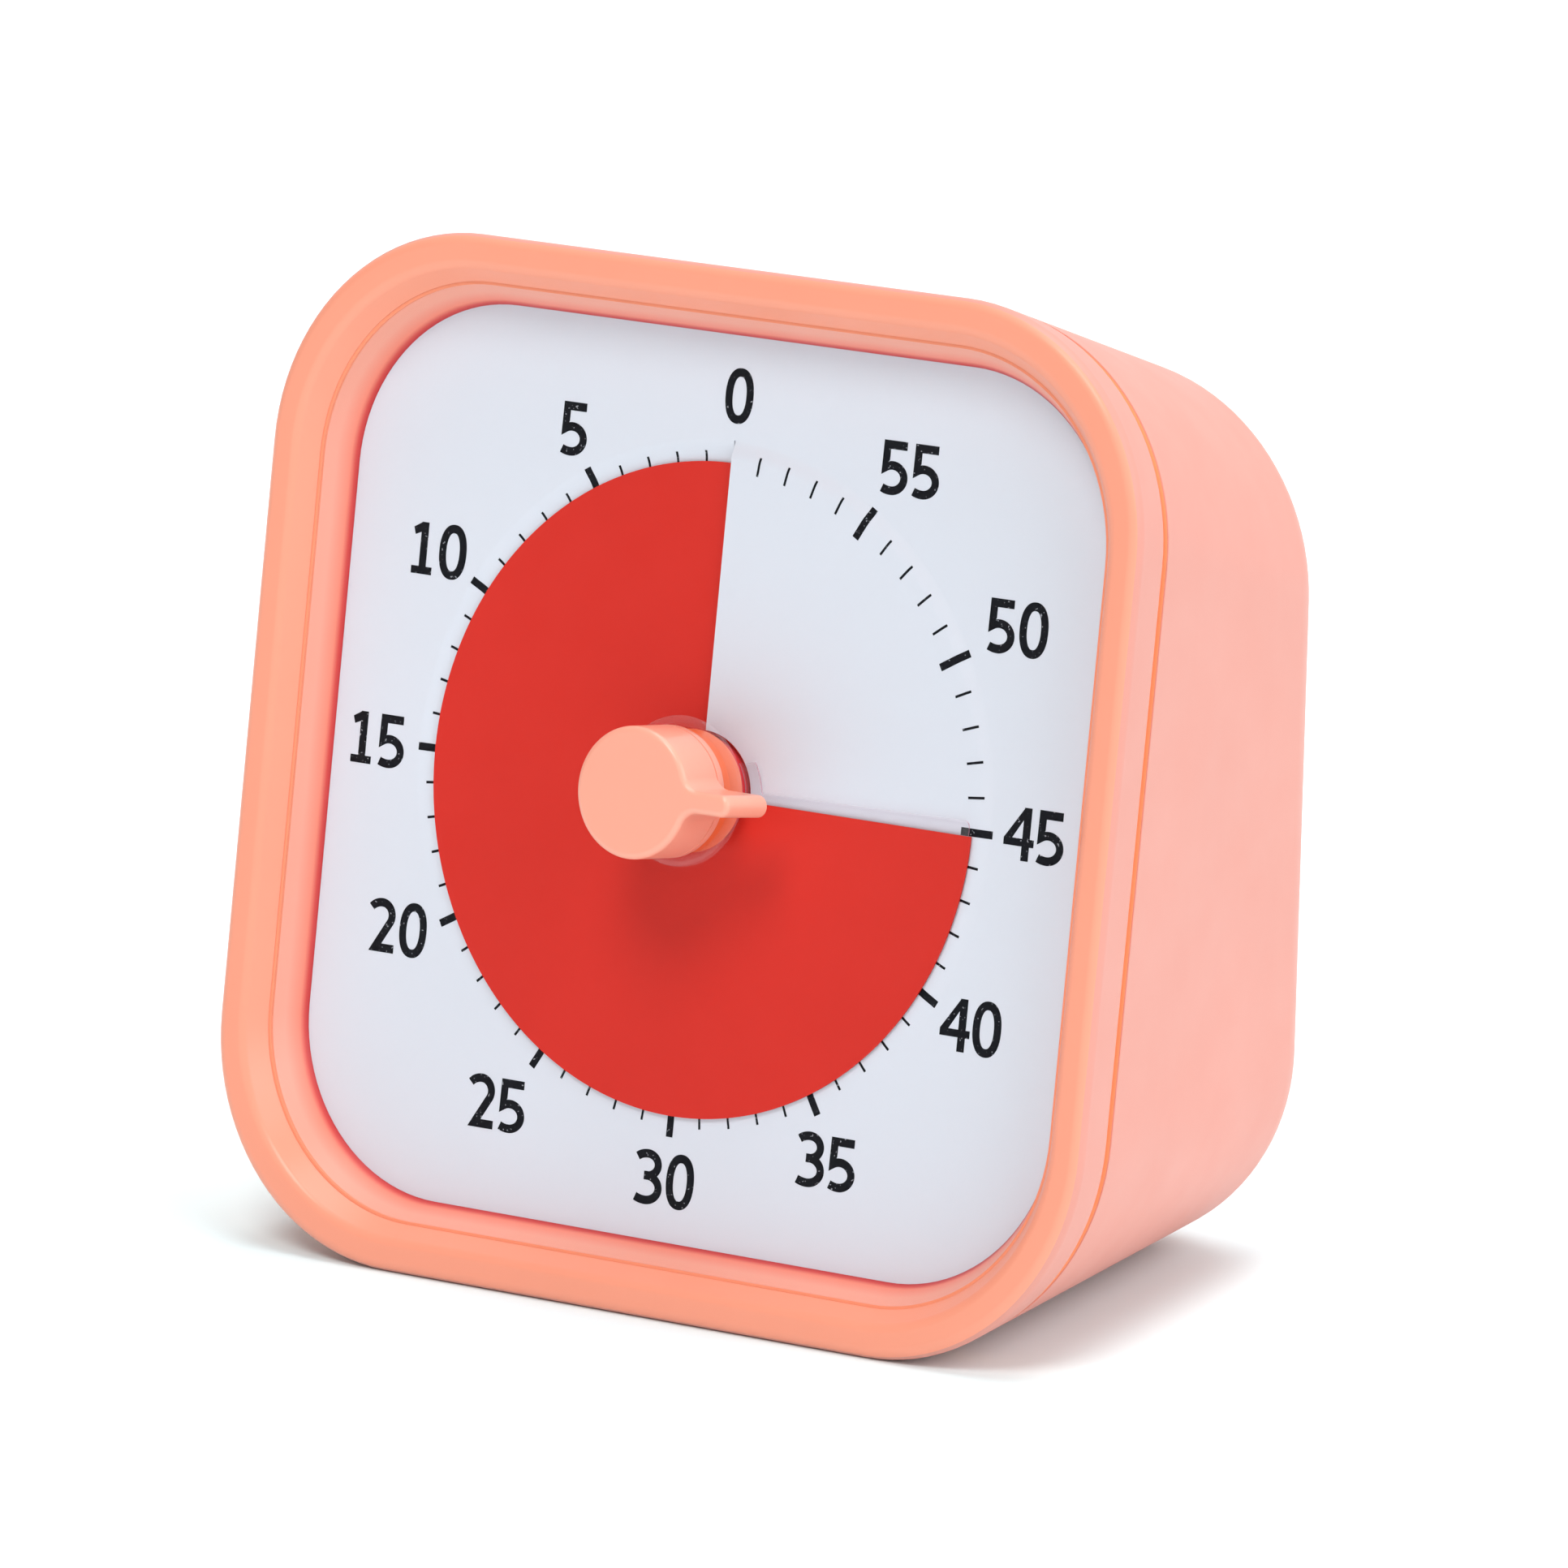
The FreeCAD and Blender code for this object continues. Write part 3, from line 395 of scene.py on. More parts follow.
def see_through(name, tint, gloss_roughness, shine, cloud=0.0, cloud_colour=(1, 1, 1, 1)):
    """Thin clear plastic. What is behind shows straight through, under a reflection from its outer
    faces only. shine scales the reflection, and cloud is the share of a faint haze."""
    material = MATERIALS[name] = bpy.data.materials.new(name)
    material.use_nodes = True
    tree = material.node_tree
    nodes = tree.nodes
    nodes.clear()
    output = nodes.new("ShaderNodeOutputMaterial")
    clear = nodes.new("ShaderNodeBsdfTransparent")
    gloss = nodes.new("ShaderNodeBsdfGlossy")
    fresnel = nodes.new("ShaderNodeFresnel")
    side = nodes.new("ShaderNodeNewGeometry")
    front_only = nodes.new("ShaderNodeMapRange")
    share = nodes.new("ShaderNodeMath")
    mix = nodes.new("ShaderNodeMixShader")
    scratches = nodes.new("ShaderNodeTexNoise")
    rough = nodes.new("ShaderNodeMapRange")
    places = nodes.new("ShaderNodeTexCoord")
    set_inputs(clear, Color=tint)
    set_inputs(fresnel, IOR=1.49)
    set_inputs(front_only, To_Min=shine, To_Max=0.0)
    share.operation = "MULTIPLY"
    set_inputs(scratches, Scale=400)
    set_inputs(rough, To_Min=gloss_roughness, To_Max=gloss_roughness + 0.05)
    link = tree.links.new
    link(places.outputs["Object"], scratches.inputs["Vector"])
    link(scratches.outputs["Fac"], rough.inputs["Value"])
    link(rough.outputs["Result"], gloss.inputs["Roughness"])
    link(side.outputs["Backfacing"], front_only.inputs["Value"])
    link(fresnel.outputs["Fac"], share.inputs[0])
    link(front_only.outputs["Result"], share.inputs[1])
    link(share.outputs["Value"], mix.inputs["Fac"])
    link(clear.outputs["BSDF"], mix.inputs[1])
    link(gloss.outputs["BSDF"], mix.inputs[2])
    surface = mix.outputs["Shader"]
    if cloud:
        haze = nodes.new("ShaderNodeBsdfDiffuse")
        set_inputs(haze, Color=cloud_colour)
        over = nodes.new("ShaderNodeMixShader")
        set_inputs(over, Fac=cloud)
        link(surface, over.inputs[1])
        link(haze.outputs["BSDF"], over.inputs[2])
        surface = over.outputs["Shader"]
    link(surface, output.inputs["Surface"])
    return material


coral = moulded("coral_plastic", (0.93, 0.322, 0.205), 0.36)
# the sides' coral: its rougher, coarser grain is the sleeve's own finish, but its pinker colour is painted sheen,
# the pale veil that sides seen at a slant catch
coral_skin = moulded("coral_skin", (0.738, 0.29, 0.23), 0.46, grain_mm=0.2)
# painted light: the orange of a lit line at the window's edge, for the bead that covers the shaded gap there
seam_painted_light = moulded("seam_painted_light", (0.93, 0.28, 0.15), 0.45)
# painted light: an orange brighter than the body's, so that the groove's walls and floor read lit where they lie
# in shade
groove_painted_light = moulded("groove_painted_light", (0.98, 0.42, 0.22), 0.45)
coral_knob = moulded("coral_knob", (0.94, 0.375, 0.265), 0.32, drift=0.006, Coat_Weight=0.25)
# painted shade: a darker, deeper orange than the knob's, for the stem in the shadow under the knob
stem_painted_shade = moulded("stem_painted_shade", (0.86, 0.165, 0.055), 0.35)
moulded("white_plastic", (0.80, 0.80, 0.78), 0.5)
moulded("acetal", (0.82, 0.80, 0.72), 0.4)
moulded("black_plastic", (0.025, 0.025, 0.028), 0.45)
moulded("board_green", (0.02, 0.16, 0.07), 0.35, grain_mm=0.4, drift=0.12)
metal("steel", (0.62, 0.62, 0.64), 0.28)
metal("nickel", (0.72, 0.70, 0.66), 0.2)
metal("brass", (0.72, 0.53, 0.22), 0.25)
metal("copper_wire", (0.72, 0.30, 0.14), 0.3, stretch=(1, 1, 40))
moulded("magnet", (0.07, 0.07, 0.08), 0.4)
metal("cell_jacket", (0.15, 0.16, 0.19), 0.3, stretch=(14, 1, 1))
window = see_through("clear_window", (1, 1, 1, 1), 0.02, 0.15)
collar_clear = see_through(
    "collar_clear", (1, 0.985, 0.985, 1), 0.08, 0.8, cloud=0.07, cloud_colour=(0.95, 0.88, 0.89, 1)
)
clear_strip = see_through(
    "clear_strip", (1.0, 0.985, 0.99, 1), 0.05, 0.4, cloud=0.03, cloud_colour=(0.95, 0.86, 0.88, 1)
)
strip_edge = see_through(
    "strip_edge", (0.92, 0.72, 0.78, 1), 0.1, 0.5, cloud=0.35, cloud_colour=(0.75, 0.42, 0.50, 1)
)


def paper():
    surface = Surface("white_card", 0.55)
    surface.mottled((0.70, 0.705, 0.775), 30, 0.006)
    surface.bump(surface.noise(4000, 2.0), 0.1, 0.004)
    return surface.material


def wall_plastic():
    """The wall round the dial: coral that darkens to a deep red towards its foot, where it meets the card: painted
    shade for the contact shadow in that crease.
    """
    surface = Surface("coral_wall", 0.4)
    depth = surface.nodes.new("ShaderNodeVectorMath")
    depth.operation = "DOT_PRODUCT"
    depth.inputs[1].default_value = OUTWARD
    surface.link(surface.coordinates, depth.inputs[0])
    height = surface.nodes.new("ShaderNodeMapRange")
    foot, top = DIAL_CENTRE.dot(OUTWARD), place(0, LENS_FRONT, 0).dot(OUTWARD)
    set_inputs(height, From_Min=foot, From_Max=top)
    surface.link(depth.outputs["Value"], height.inputs["Value"])
    # painted shade: the dark red at the foot, and the deepening just above it, stand in for the shadow in the
    # crease between wall and card
    stops = [
        (0.0, (0.50, 0.012, 0.02, 1)),
        (0.11, (0.66, 0.06, 0.05, 1)),
        (0.24, (0.90, 0.25, 0.17, 1)),
        (0.60, (0.90, 0.36, 0.265, 1)),
    ]
    surface.colour(surface.ramp(height.outputs["Result"], stops))
    surface.rough(160, 0.34, 0.45)
    surface.bump(surface.noise(8000, 2.0), 0.16, 0.01)
    return surface.material


def red_print():
    """The film: a satin red with a fine tooth, and a little of what is under it showing through."""
    surface = Surface("red_film", 0.38, Specular_IOR_Level=0.2)
    surface.mottled((0.70, 0.029, 0.019), 55, 0.02)
    surface.rough(220, 0.34, 0.43)
    surface.bump(surface.noise(2500, 2.0), 0.12, 0.006)
    clear = surface.nodes.new("ShaderNodeBsdfTransparent")
    set_inputs(clear, Color=(1, 0.25, 0.2, 1))
    mix = surface.nodes.new("ShaderNodeMixShader")
    set_inputs(mix, Fac=0.07)
    surface.link(surface.shader.outputs["BSDF"], mix.inputs[1])
    surface.link(clear.outputs["BSDF"], mix.inputs[2])
    surface.link(mix.outputs["Shader"], surface.nodes["Material Output"].inputs["Surface"])
    return surface.material


def ink_print():
    """Screen-printed ink, near black, with the odd pinhole."""
    surface = Surface("ink", 0.5, Specular_IOR_Level=0.12)
    black = (0.006, 0.006, 0.009, 1)
    holes = surface.noise(4200, 1.0)
    surface.colour(surface.ramp(holes, [(0.0, black), (0.68, black), (0.74, (0.30, 0.30, 0.33, 1))]))
    surface.bump(holes, 0.2, 0.004)
    return surface.material


def red_hub():
    surface = Surface("clear_red_hub", 0.2, Coat_Weight=0.4)
    surface.mottled((0.72, 0.045, 0.055), 200, 0.05)
    return surface.material


card_paper = paper()
# the dial wall's coral, with painted shade that darkens it towards its foot
coral_wall = wall_plastic()
red_film = red_print()
ink = ink_print()
red_hub()


# Case
def bezel():
    """The front ring: rounded outer edge, flat land, sloped band, lens seat and the spigot behind.

    Its side has the body's pinker coral, painted sheen on the same plastic as its front, and its last row of faces
    is the groove's front wall, in the groove's painted light.
    """
    steps = 8
    side_rows = (steps + 1) + steps // 2        # the groove's edge, and half of the front edge's
    section = [
        outer_line(GROOVE_FRONT, 0.0, 0.14),
        (FACE_PLANE, FRONT_HALF, FRONT_CORNER_R, FRONT_EDGE_R),
        inner_line(FACE_PLANE, LAND_INSET, 0.9),
        inner_line(FACE_PLANE + BAND_START[1], BAND_START[0], 0.9),
        inner_line(LENS_FRONT, BAND_INSET, 0.05),
        inner_line(LENS_FRONT, SEAT_INSET),
        inner_line(SPIGOT_END, SEAT_INSET),
        outer_line(SPIGOT_END, WALL + FIT_GAP),
        outer_line(GROOVE_FRONT, WALL + FIT_GAP),
    ]
    loops = [loop(*line) for line in rounded(section, steps)]
    points, faces = bridge(loops, True)
    last = len(loops) - 1
    # the side rows take the pinker side coral, painted sheen that makes this part's side differ from its front
    slots = row_slots(faces, lambda row: 2 if row == last else 1 if row < side_rows else 0)
    # the groove's front wall takes the groove's orange: painted light in a recess that lies in shade
    finishes = [coral, coral_skin, groove_painted_light]
    piece = make_piece("bezel", "housing", points, faces, finishes, slots)
    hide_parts("front_frame")


def dial_wall():
    """The sloping wall round the dial, from the window down to the card."""
    top = LENS_FRONT + 0.05
    foot = -0.02                # just in front of the card
    section = [
        inner_line(top, wall_inset(LENS_FRONT), 0.06),
        inner_line(foot, wall_inset(foot)),
        inner_line(foot, SEAT_INSET + FIT_GAP),
        inner_line(top, SEAT_INSET + FIT_GAP),
    ]
    # the wall's material carries painted shade: it darkens to deep red at the wall's foot
    piece = ring_piece("dial_wall", "housing", section, coral_wall)
    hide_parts("dial_surround")


def lens_seam():
    """The fine bead between the sloped band and the window, in a saturated orange: painted light that shows a lit
    orange line at the window's edge, over a gap that lies in shade.
    """
    section = [
        inner_line(LENS_FRONT - 0.04, BAND_INSET - 0.05, 0.03),
        inner_line(LENS_FRONT - 0.02, BAND_INSET + 0.2, 0.03),
        inner_line(LENS_FRONT + 0.3, BAND_INSET + 0.2),
        inner_line(LENS_FRONT + 0.3, BAND_INSET - 0.05),
    ]
    piece = ring_piece("lens_seam", "housing", section, seam_painted_light)


def window_lens():
    """A clear plate with sloped edges and a low collar round the knob's hole."""
    gap = 0.08
    edge, mid_edge = 0.12, 0.035        # the collar's rounding, and its middle row
    bevel = 0.03
    plate_y, plate_half, plate_corner, _ = inner_line(LENS_FRONT, wall_inset(LENS_FRONT) + gap)
    plate_back = inner_line(LENS_BACK, wall_inset(LENS_BACK) + gap)
    collar = [
        (LENS_FRONT, COLLAR_R + 0.25),
        (LENS_FRONT - 0.07, COLLAR_R + 0.07),
        (LENS_FRONT - 0.25, COLLAR_R),
        (LENS_COLLAR_FRONT + edge, COLLAR_R),
        (LENS_COLLAR_FRONT + mid_edge, COLLAR_R - mid_edge),
        (LENS_COLLAR_FRONT, COLLAR_R - edge),
        (LENS_COLLAR_FRONT, COLLAR_BORE_R + edge),
        (LENS_COLLAR_FRONT + mid_edge, COLLAR_BORE_R + mid_edge),
        (LENS_COLLAR_FRONT + edge, COLLAR_BORE_R),
        (LENS_BACK, COLLAR_BORE_R),
    ]
    loops = [
        loop(*plate_back[:3]),
        loop(plate_y + bevel, plate_half, plate_corner),
        loop(plate_y, plate_half - bevel, plate_corner - bevel),
    ]
    loops += [loop(y, radius, radius) for y, radius in collar]
    points, faces = bridge(loops, True)
    collar_rows = range(4, len(loops) - 2)
    slots = row_slots(faces, lambda row: int(row in collar_rows))
    piece = make_piece("window_lens", "housing", points, faces, [window, collar_clear], slots)
    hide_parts("lens")


# The upright back plane in the face frame, and a depth behind it where the sides are also taken
BACK_NORMAL = Vector((0, math.cos(LEAN), math.sin(LEAN)))
BACK_REACH = from_row((0, BACK_PLANE, DIAL_CENTRE.z)).dot(BACK_NORMAL)
FAR_Y = 60.0


def back_rows(inset, steps):
    """Loops over the rounding between the tapered sides and the back plane, from the sides inwards."""
    radius = BACK_EDGE_R - inset
    near = square_outline(half_at(0) - inset, half_at(0) - inset, corner_at(0) - inset)
    far = square_outline(half_at(FAR_Y) - inset, half_at(FAR_Y) - inset, corner_at(FAR_Y) - inset)
    rows = [[] for _ in range(steps + 1)]
    for (x0, z0, angle), (x1, z1, _) in zip(near, far):
        start = Vector((x0, 0, z0))
        ruling = (Vector((x1, FAR_Y, z1)) - start).normalized()
        tangent = Vector((-math.sin(angle), 0, math.cos(angle)))
        normal = tangent.cross(ruling).normalized()
        if normal.dot(Vector((math.cos(angle), 0, math.sin(angle)))) < 0:
            normal = -normal
        centre = start - normal * radius
        short = BACK_REACH - inset - radius - centre.dot(BACK_NORMAL)
        centre += ruling * (short / ruling.dot(BACK_NORMAL))
        turn = normal.angle(BACK_NORMAL)
        for step, row in enumerate(rows):
            share = step / steps
            aim = normal * math.sin((1 - share) * turn) + BACK_NORMAL * math.sin(share * turn)
            row.append(centre + aim * (radius / math.sin(turn)))
    return rows


def back_outline(half_x, z_low, z_high, radius, behind):
    """A rounded rectangle, behind mm in front of the back plane. Heights are row-frame mm."""
    middle = (z_low + z_high) / 2
    return [
        from_row((x * MM, BACK_PLANE - behind * MM, (z + middle) * MM))
        for x, z, _ in square_outline(half_x, (z_high - z_low) / 2, radius)
    ]


COVER_GAP = 0.15
WINDOW_HALF = COVER_HIGH.x / MM + COVER_GAP
WINDOW_LOW = COVER_LOW.z / MM - COVER_GAP
WINDOW_HIGH = COVER_HIGH.z / MM + COVER_GAP
WINDOW_R = 6.0


def window_loop(grow, behind):
    return back_outline(
        WINDOW_HALF + grow, WINDOW_LOW - grow, WINDOW_HIGH + grow, WINDOW_R + grow, behind
    )


def body_shell():
    """The sleeve: groove lip, tapered sides, rounded back edge and the window for the rear cover."""
    lip, mid_lip = 0.14, MID_ROUND * 0.14
    edge = 0.35
    front = [
        outer_loop(GROOVE_FRONT, WALL),
        outer_loop(GROOVE_FRONT, GROOVE_DEPTH),
        outer_loop(GROOVE_BACK, GROOVE_DEPTH),
        outer_loop(GROOVE_BACK, lip),
        loop(GROOVE_BACK + mid_lip, half_at(GROOVE_BACK) - mid_lip, corner_at(GROOVE_BACK) - mid_lip),
        outer_loop(GROOVE_BACK + lip),
    ]
    opening = [
        window_loop(edge * (1 - math.sin(angle)), edge * (1 - math.cos(angle)))
        for angle in (math.radians(step * 22.5) for step in range(5))
    ]
    inside = [window_loop(0.0, WALL)] + list(reversed(back_rows(WALL, 8)))
    loops = front + back_rows(0.0, 16) + opening + inside
    points, faces = bridge(loops, True)
    # the groove's floor and back wall take the groove's orange: painted light in a recess that lies in shade
    groove_rows = (1, 2)        # its floor and its back wall
    slots = row_slots(faces, lambda row: int(row in groove_rows))
    # the sides take the pinker side coral, whose colour is painted sheen
    piece = make_piece("body_shell", "housing", points, faces, [coral_skin, groove_painted_light], slots)
    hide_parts("sleeve")


# Dial and disk
def smooth(share):
    share = min(1.0, max(0.0, share))
    return share * share * (3 - 2 * share)


def card_height(radius, degrees):
    """The card's front face, towards the viewer: a helix that fades out where the slit ends."""
    return PITCH * (degrees / 360 - 0.5) * smooth((SLIT_R - radius) / (SLIT_R - WARP_R))


def film_height(_, degrees):
    return PITCH * (degrees / 360 - 0.5) + FILM_GAP + FILM_THICKNESS


def polar(radius, degrees, height):
    angle = math.radians(degrees + 90)
    return Vector((radius * math.cos(angle), -height, radius * math.sin(angle)))


def sheet_grid(radii, angles_at, height, thickness):
    """A thin sheet over a grid: its points, its faces, and 1 for each face that is an edge.

    angles_at(radius) gives that radius's angles.
    """
    grid = [[(radius, degrees) for degrees in angles_at(radius)] for radius in radii]
    rows, columns = len(grid), len(grid[0])
    points = []
    for drop in (0.0, thickness):
        for row in grid:
            points += [polar(*spot, height(*spot) - drop) for spot in row]
    under = rows * columns

    def at(row, column, side):
        return side * under + row * columns + column

    faces = []
    for row in range(rows - 1):
        for column in range(columns - 1):
            corners = ((row, column), (row, column + 1), (row + 1, column + 1), (row + 1, column))
            faces += [tuple(at(*corner, side) for corner in corners) for side in (0, 1)]
    rim = [((row, step), (row, step + 1)) for row in (0, rows - 1) for step in range(columns - 1)]
    rim += [((step, end), (step + 1, end)) for end in (0, columns - 1) for step in range(rows - 1)]
    edge = [0] * len(faces) + [1] * len(rim)
    faces += [(at(*near, 0), at(*far, 0), at(*far, 1), at(*near, 1)) for near, far in rim]
    return points, faces, edge


def spread(first, last, count):
    """Evenly spaced values, both ends among them."""
    return [first + (last - first) * step / count for step in range(count + 1)]


def square_reach(degrees, half, corner):
    """How far the rounded square's edge is from the centre, in that direction."""
    angle = math.radians(degrees + 90)
    c, s = abs(math.cos(angle)), abs(math.sin(angle))
    flat = half / max(c, s)
    core = half - corner
    if min(c, s) * flat <= core:
        return flat
    across = core * (c + s)
    return across + math.sqrt(across ** 2 - 2 * core ** 2 + corner ** 2)


def dial_card():
    """White card: one turn of the helix inside the scale, split by the slit, flat outside it."""
    slit_half_mm = 0.06
    radii = [CARD_HOLE_R, 8, 12, 16, 20, 24] + WARP_STOPS + [SLIT_R]

    def angles_at(radius):
        trim = math.degrees(slit_half_mm / radius)
        return spread(trim, 360 - trim, TURN_STEPS)

    points, faces, _ = sheet_grid(radii, angles_at, card_height, CARD_THICKNESS)
    # the flat outside replaces the helix's outer rim
    columns = TURN_STEPS + 1
    rows = len(radii)
    under = rows * columns
    rim = {(rows - 1) * columns + column for column in range(columns)}
    rim |= {under + index for index in rim}
    faces = [face for face in faces if not set(face) <= rim]
    outer = len(points)
    for drop in (0.0, CARD_THICKNESS):
        for degrees in angles_at(SLIT_R):
            reach = square_reach(degrees, CARD_HALF, CARD_CORNER_R)
            points.append(polar(reach, degrees, -drop))
    for column in range(columns):
        after = (column + 1) % columns
        for side in (0, 1):
            near = side * under + (rows - 1) * columns
            far = outer + side * columns
            faces.append((near + column, near + after, far + after, far + column))
        faces.append((outer + column, outer + after, outer + columns + after, outer + columns + column))
    start, end = (rows - 1) * columns, rows * columns - 1
    faces.append((start, end, under + end, under + start))
    piece = make_piece("card", "housing", points, faces, [card_paper])
    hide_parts("dial_card")


RED_EDGE = -0.35               # height of the red's leading edge over the 3 o'clock line
STRIP_R = 27.4
STRIP_LINE = 0.12              # width of the fine line at the strip's edge


def strip_edge_height(radius):
    """The clear strip's upper edge, which steps up round the hub."""
    hook = 2.5 * smooth((6.44 - radius) / 0.2) - 0.25 * smooth((6.3 - radius) / 1.2)
    corner = max(0.0, radius - (STRIP_R - 0.5))
    drop = 0.5 - math.sqrt(max(0.0, 0.25 - corner ** 2))
    return 0.55 + 0.018 * (radius - 6.0) + hook - drop


def lead_angle(radius, height):
    """Where a line at that height over 3 o'clock crosses a radius, in dial degrees."""
    return REST_DEG + math.degrees(math.asin(max(-1.0, min(1.0, height / radius))))


def red_disk():
    radii = [HUB_R + FILM_HUB_GAP, 5.3, 6.5, 9, 13, 17, 21, 25, FILM_R - 0.12, FILM_R]

    def angles_at(radius):
        return spread(REST_DEG - FILM_TURN, lead_angle(radius, RED_EDGE), TURN_STEPS)

    points, faces, _ = sheet_grid(radii, angles_at, film_height, FILM_THICKNESS)
    piece = make_piece("red_film", "disk", points, faces, [red_film])
    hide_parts("red_disk")


def film_strip():
    """The clear leading strip that joins the red film to its hub."""
    radii = spread(HUB_R + FILM_HUB_GAP, 6.2, 10) + spread(6.24, 6.44, 8) + [6.6, 7, 9, 12, 16, 20, 24]
    radii += spread(STRIP_R - 0.5, STRIP_R, 6)

    def angles_at(radius):
        top = strip_edge_height(radius)
        inside_line = lead_angle(radius, top - STRIP_LINE)
        return spread(lead_angle(radius, RED_EDGE), inside_line, 7) + [lead_angle(radius, top)]

    points, faces, edge = sheet_grid(radii, angles_at, film_height, FILM_THICKNESS)
    piece = make_piece("film_strip", "disk", points, faces, [clear_strip, strip_edge], edge)


# Print
def sides_of(outline):
    return zip(outline, outline[1:] + outline[:1])


def signed_area(outline):
    return sum(one[0] * two[1] - two[0] * one[1] for one, two in sides_of(outline)) / 2


def covered(point, outlines):
    """Whether any of the closed outlines holds the point."""
    for outline in outlines:
        held = False
        for (x0, z0), (x1, z1) in sides_of(outline):
            if (z0 > point[1]) != (z1 > point[1]):
                crossing = x0 + (point[1] - z0) * (x1 - x0) / (z1 - z0)
                if point[0] < crossing:
                    held = not held
        if held:
            return True
    return False


def flat_print(name, outlines, height_at):
    """Thin print over the union of closed outlines of (x, z) points."""
    points, sides = [], []
    for outline in outlines:
        base, count = len(points), len(outline)
        points += [Vector(point) for point in outline]
        sides += [(base + step, base + (step + 1) % count) for step in range(count)]
    flat, _, triangles, _, _, _ = delaunay_2d_cdt(points, sides, [], 0, 1e-5)
    triangles = [
        triangle for triangle in triangles
        if covered(sum((flat[corner] for corner in triangle), Vector((0, 0))) / 3, outlines)
    ]
    count = len(flat)
    body = [Vector((x, -(height_at(x, z) + INK), z)) for x, z in flat]
    body += [Vector((x, -height_at(x, z) + INK_SUNK, z)) for x, z in flat]
    faces, edges = [], {}
    for triangle in triangles:
        faces.append(tuple(triangle))
        faces.append(tuple(index + count for index in reversed(triangle)))
        edges.update(dict.fromkeys(sides_of(list(triangle))))
    # an edge that no neighbour shares is on the rim
    rim = [(start, end) for start, end in edges if (end, start) not in edges]
    faces += [(end, start, start + count, end + count) for start, end in rim]
    piece = make_piece(name, "housing", body, faces, [ink])


def ribbon(path, width, closed=False):
    """A stroke along a path, with mitred corners, as a chain of quads."""
    count = len(path)
    left, right = [], []
    for index, point in enumerate(path):
        before = path[index - 1] if index or closed else None
        after = path[(index + 1) % count] if index < count - 1 or closed else None
        one = (Vector(point) - Vector(before)).normalized() if before else None
        two = (Vector(after) - Vector(point)).normalized() if after else None
        one, two = one or two, two or one
        across = Vector((-(one.y + two.y), one.x + two.x)).normalized()
        stretch = min(1 / max(0.3, across.dot(Vector((-one.y, one.x)))), 2.2)
        half = width / 2 * stretch
        left.append((point[0] + across.x * half, point[1] + across.y * half))
        right.append((point[0] - across.x * half, point[1] - across.y * half))
    quads = []
    for index in range(count if closed else count - 1):
        after = (index + 1) % count
        quads.append([left[index], left[after], right[after], right[index]])
    return quads


def curve(centre, radii, first, last, count=14, power=2.0):
    """Points on an ellipse, or on a squarer oval with a larger power, between two angles."""
    points = []
    for step in range(count + 1):
        angle = math.radians(first + (last - first) * step / count)
        c, s = math.cos(angle), math.sin(angle)
        reach = (abs(c) ** power + abs(s) ** power) ** (-1 / power)
        points.append((centre[0] + radii[0] * c * reach, centre[1] + radii[1] * s * reach))
    return points


# Digits, each drawn from its lower left corner
STROKE = 0.73
DIGIT_TOP = 4.45
TOP_BAR = DIGIT_TOP - STROKE / 2 + 0.02
LOW_BAR = STROKE / 2 - 0.03


def bar(x0, x1, z0, z1):
    return [(x0, z0), (x1, z0), (x1, z1), (x0, z1)]


def arcs(*parts):
    """Curves joined end to end."""
    points = []
    for part in parts:
        points += curve(*part)[1 if points else 0:]
    return points


MIDDLE_OF_3 = (0.83, 2.34)
DIGITS = {                     # width, and outlines
    "0": (2.87, ribbon(curve((1.43, 2.225), (1.06, 1.99), 0, 360 - 7.5, 47, 2.3), STROKE, True)),
    "1": (2.2, [
        bar(0.82, 1.57, 0, DIGIT_TOP),
        bar(0.05, 2.2, 0, 0.66),
        [(0.02, 3.95), (0.22, 3.32), (0.95, 3.62), (1.2, DIGIT_TOP), (0.92, DIGIT_TOP)],
    ]),
    "2": (2.58, ribbon(
        arcs(((1.05, 3.12), (1.3, 1.09), 146, 90, 8), ((1.05, 3.12), (1.1, 1.09), 90, -38, 16))
        + [(0.62, LOW_BAR), (2.58, LOW_BAR)],
        STROKE,
    )),
    "3": (2.78, ribbon(
        arcs(((1.1, 3.27), (1.35, 0.94), 141, 90, 7), ((1.1, 3.27), (1.1, 0.94), 90, -90, 20))
        + [MIDDLE_OF_3],
        STROKE,
    ) + ribbon(
        [MIDDLE_OF_3]
        + arcs(((1.1, 1.3), (1.3, 1.05), 90, -90, 20), ((1.1, 1.3), (1.7, 1.05), -90, -127, 7)),
        STROKE,
    )),
    "4": (3.0, [
        bar(1.83, 2.58, 0, DIGIT_TOP),
        bar(0, 3.0, 1.19, 1.84),
        [(0, 1.4), (0.55, 1.4), (0.83, 1.84), (1.9, 3.5), (2.2, DIGIT_TOP), (1.9, DIGIT_TOP), (0, 1.79)],
    ]),
    "5": (2.64, ribbon(
        [(2.36, TOP_BAR), (0.37, TOP_BAR)]
        + arcs(
            ((1.05, 1.33), (1.2, 1.06), 126, 90, 6),
            ((1.05, 1.33), (1.22, 1.06), 90, -90, 24),
            ((1.05, 1.33), (1.6, 1.06), -90, -125, 7),
        ),
        STROKE,
    )),
}
DIGIT_PITCH = 3.17
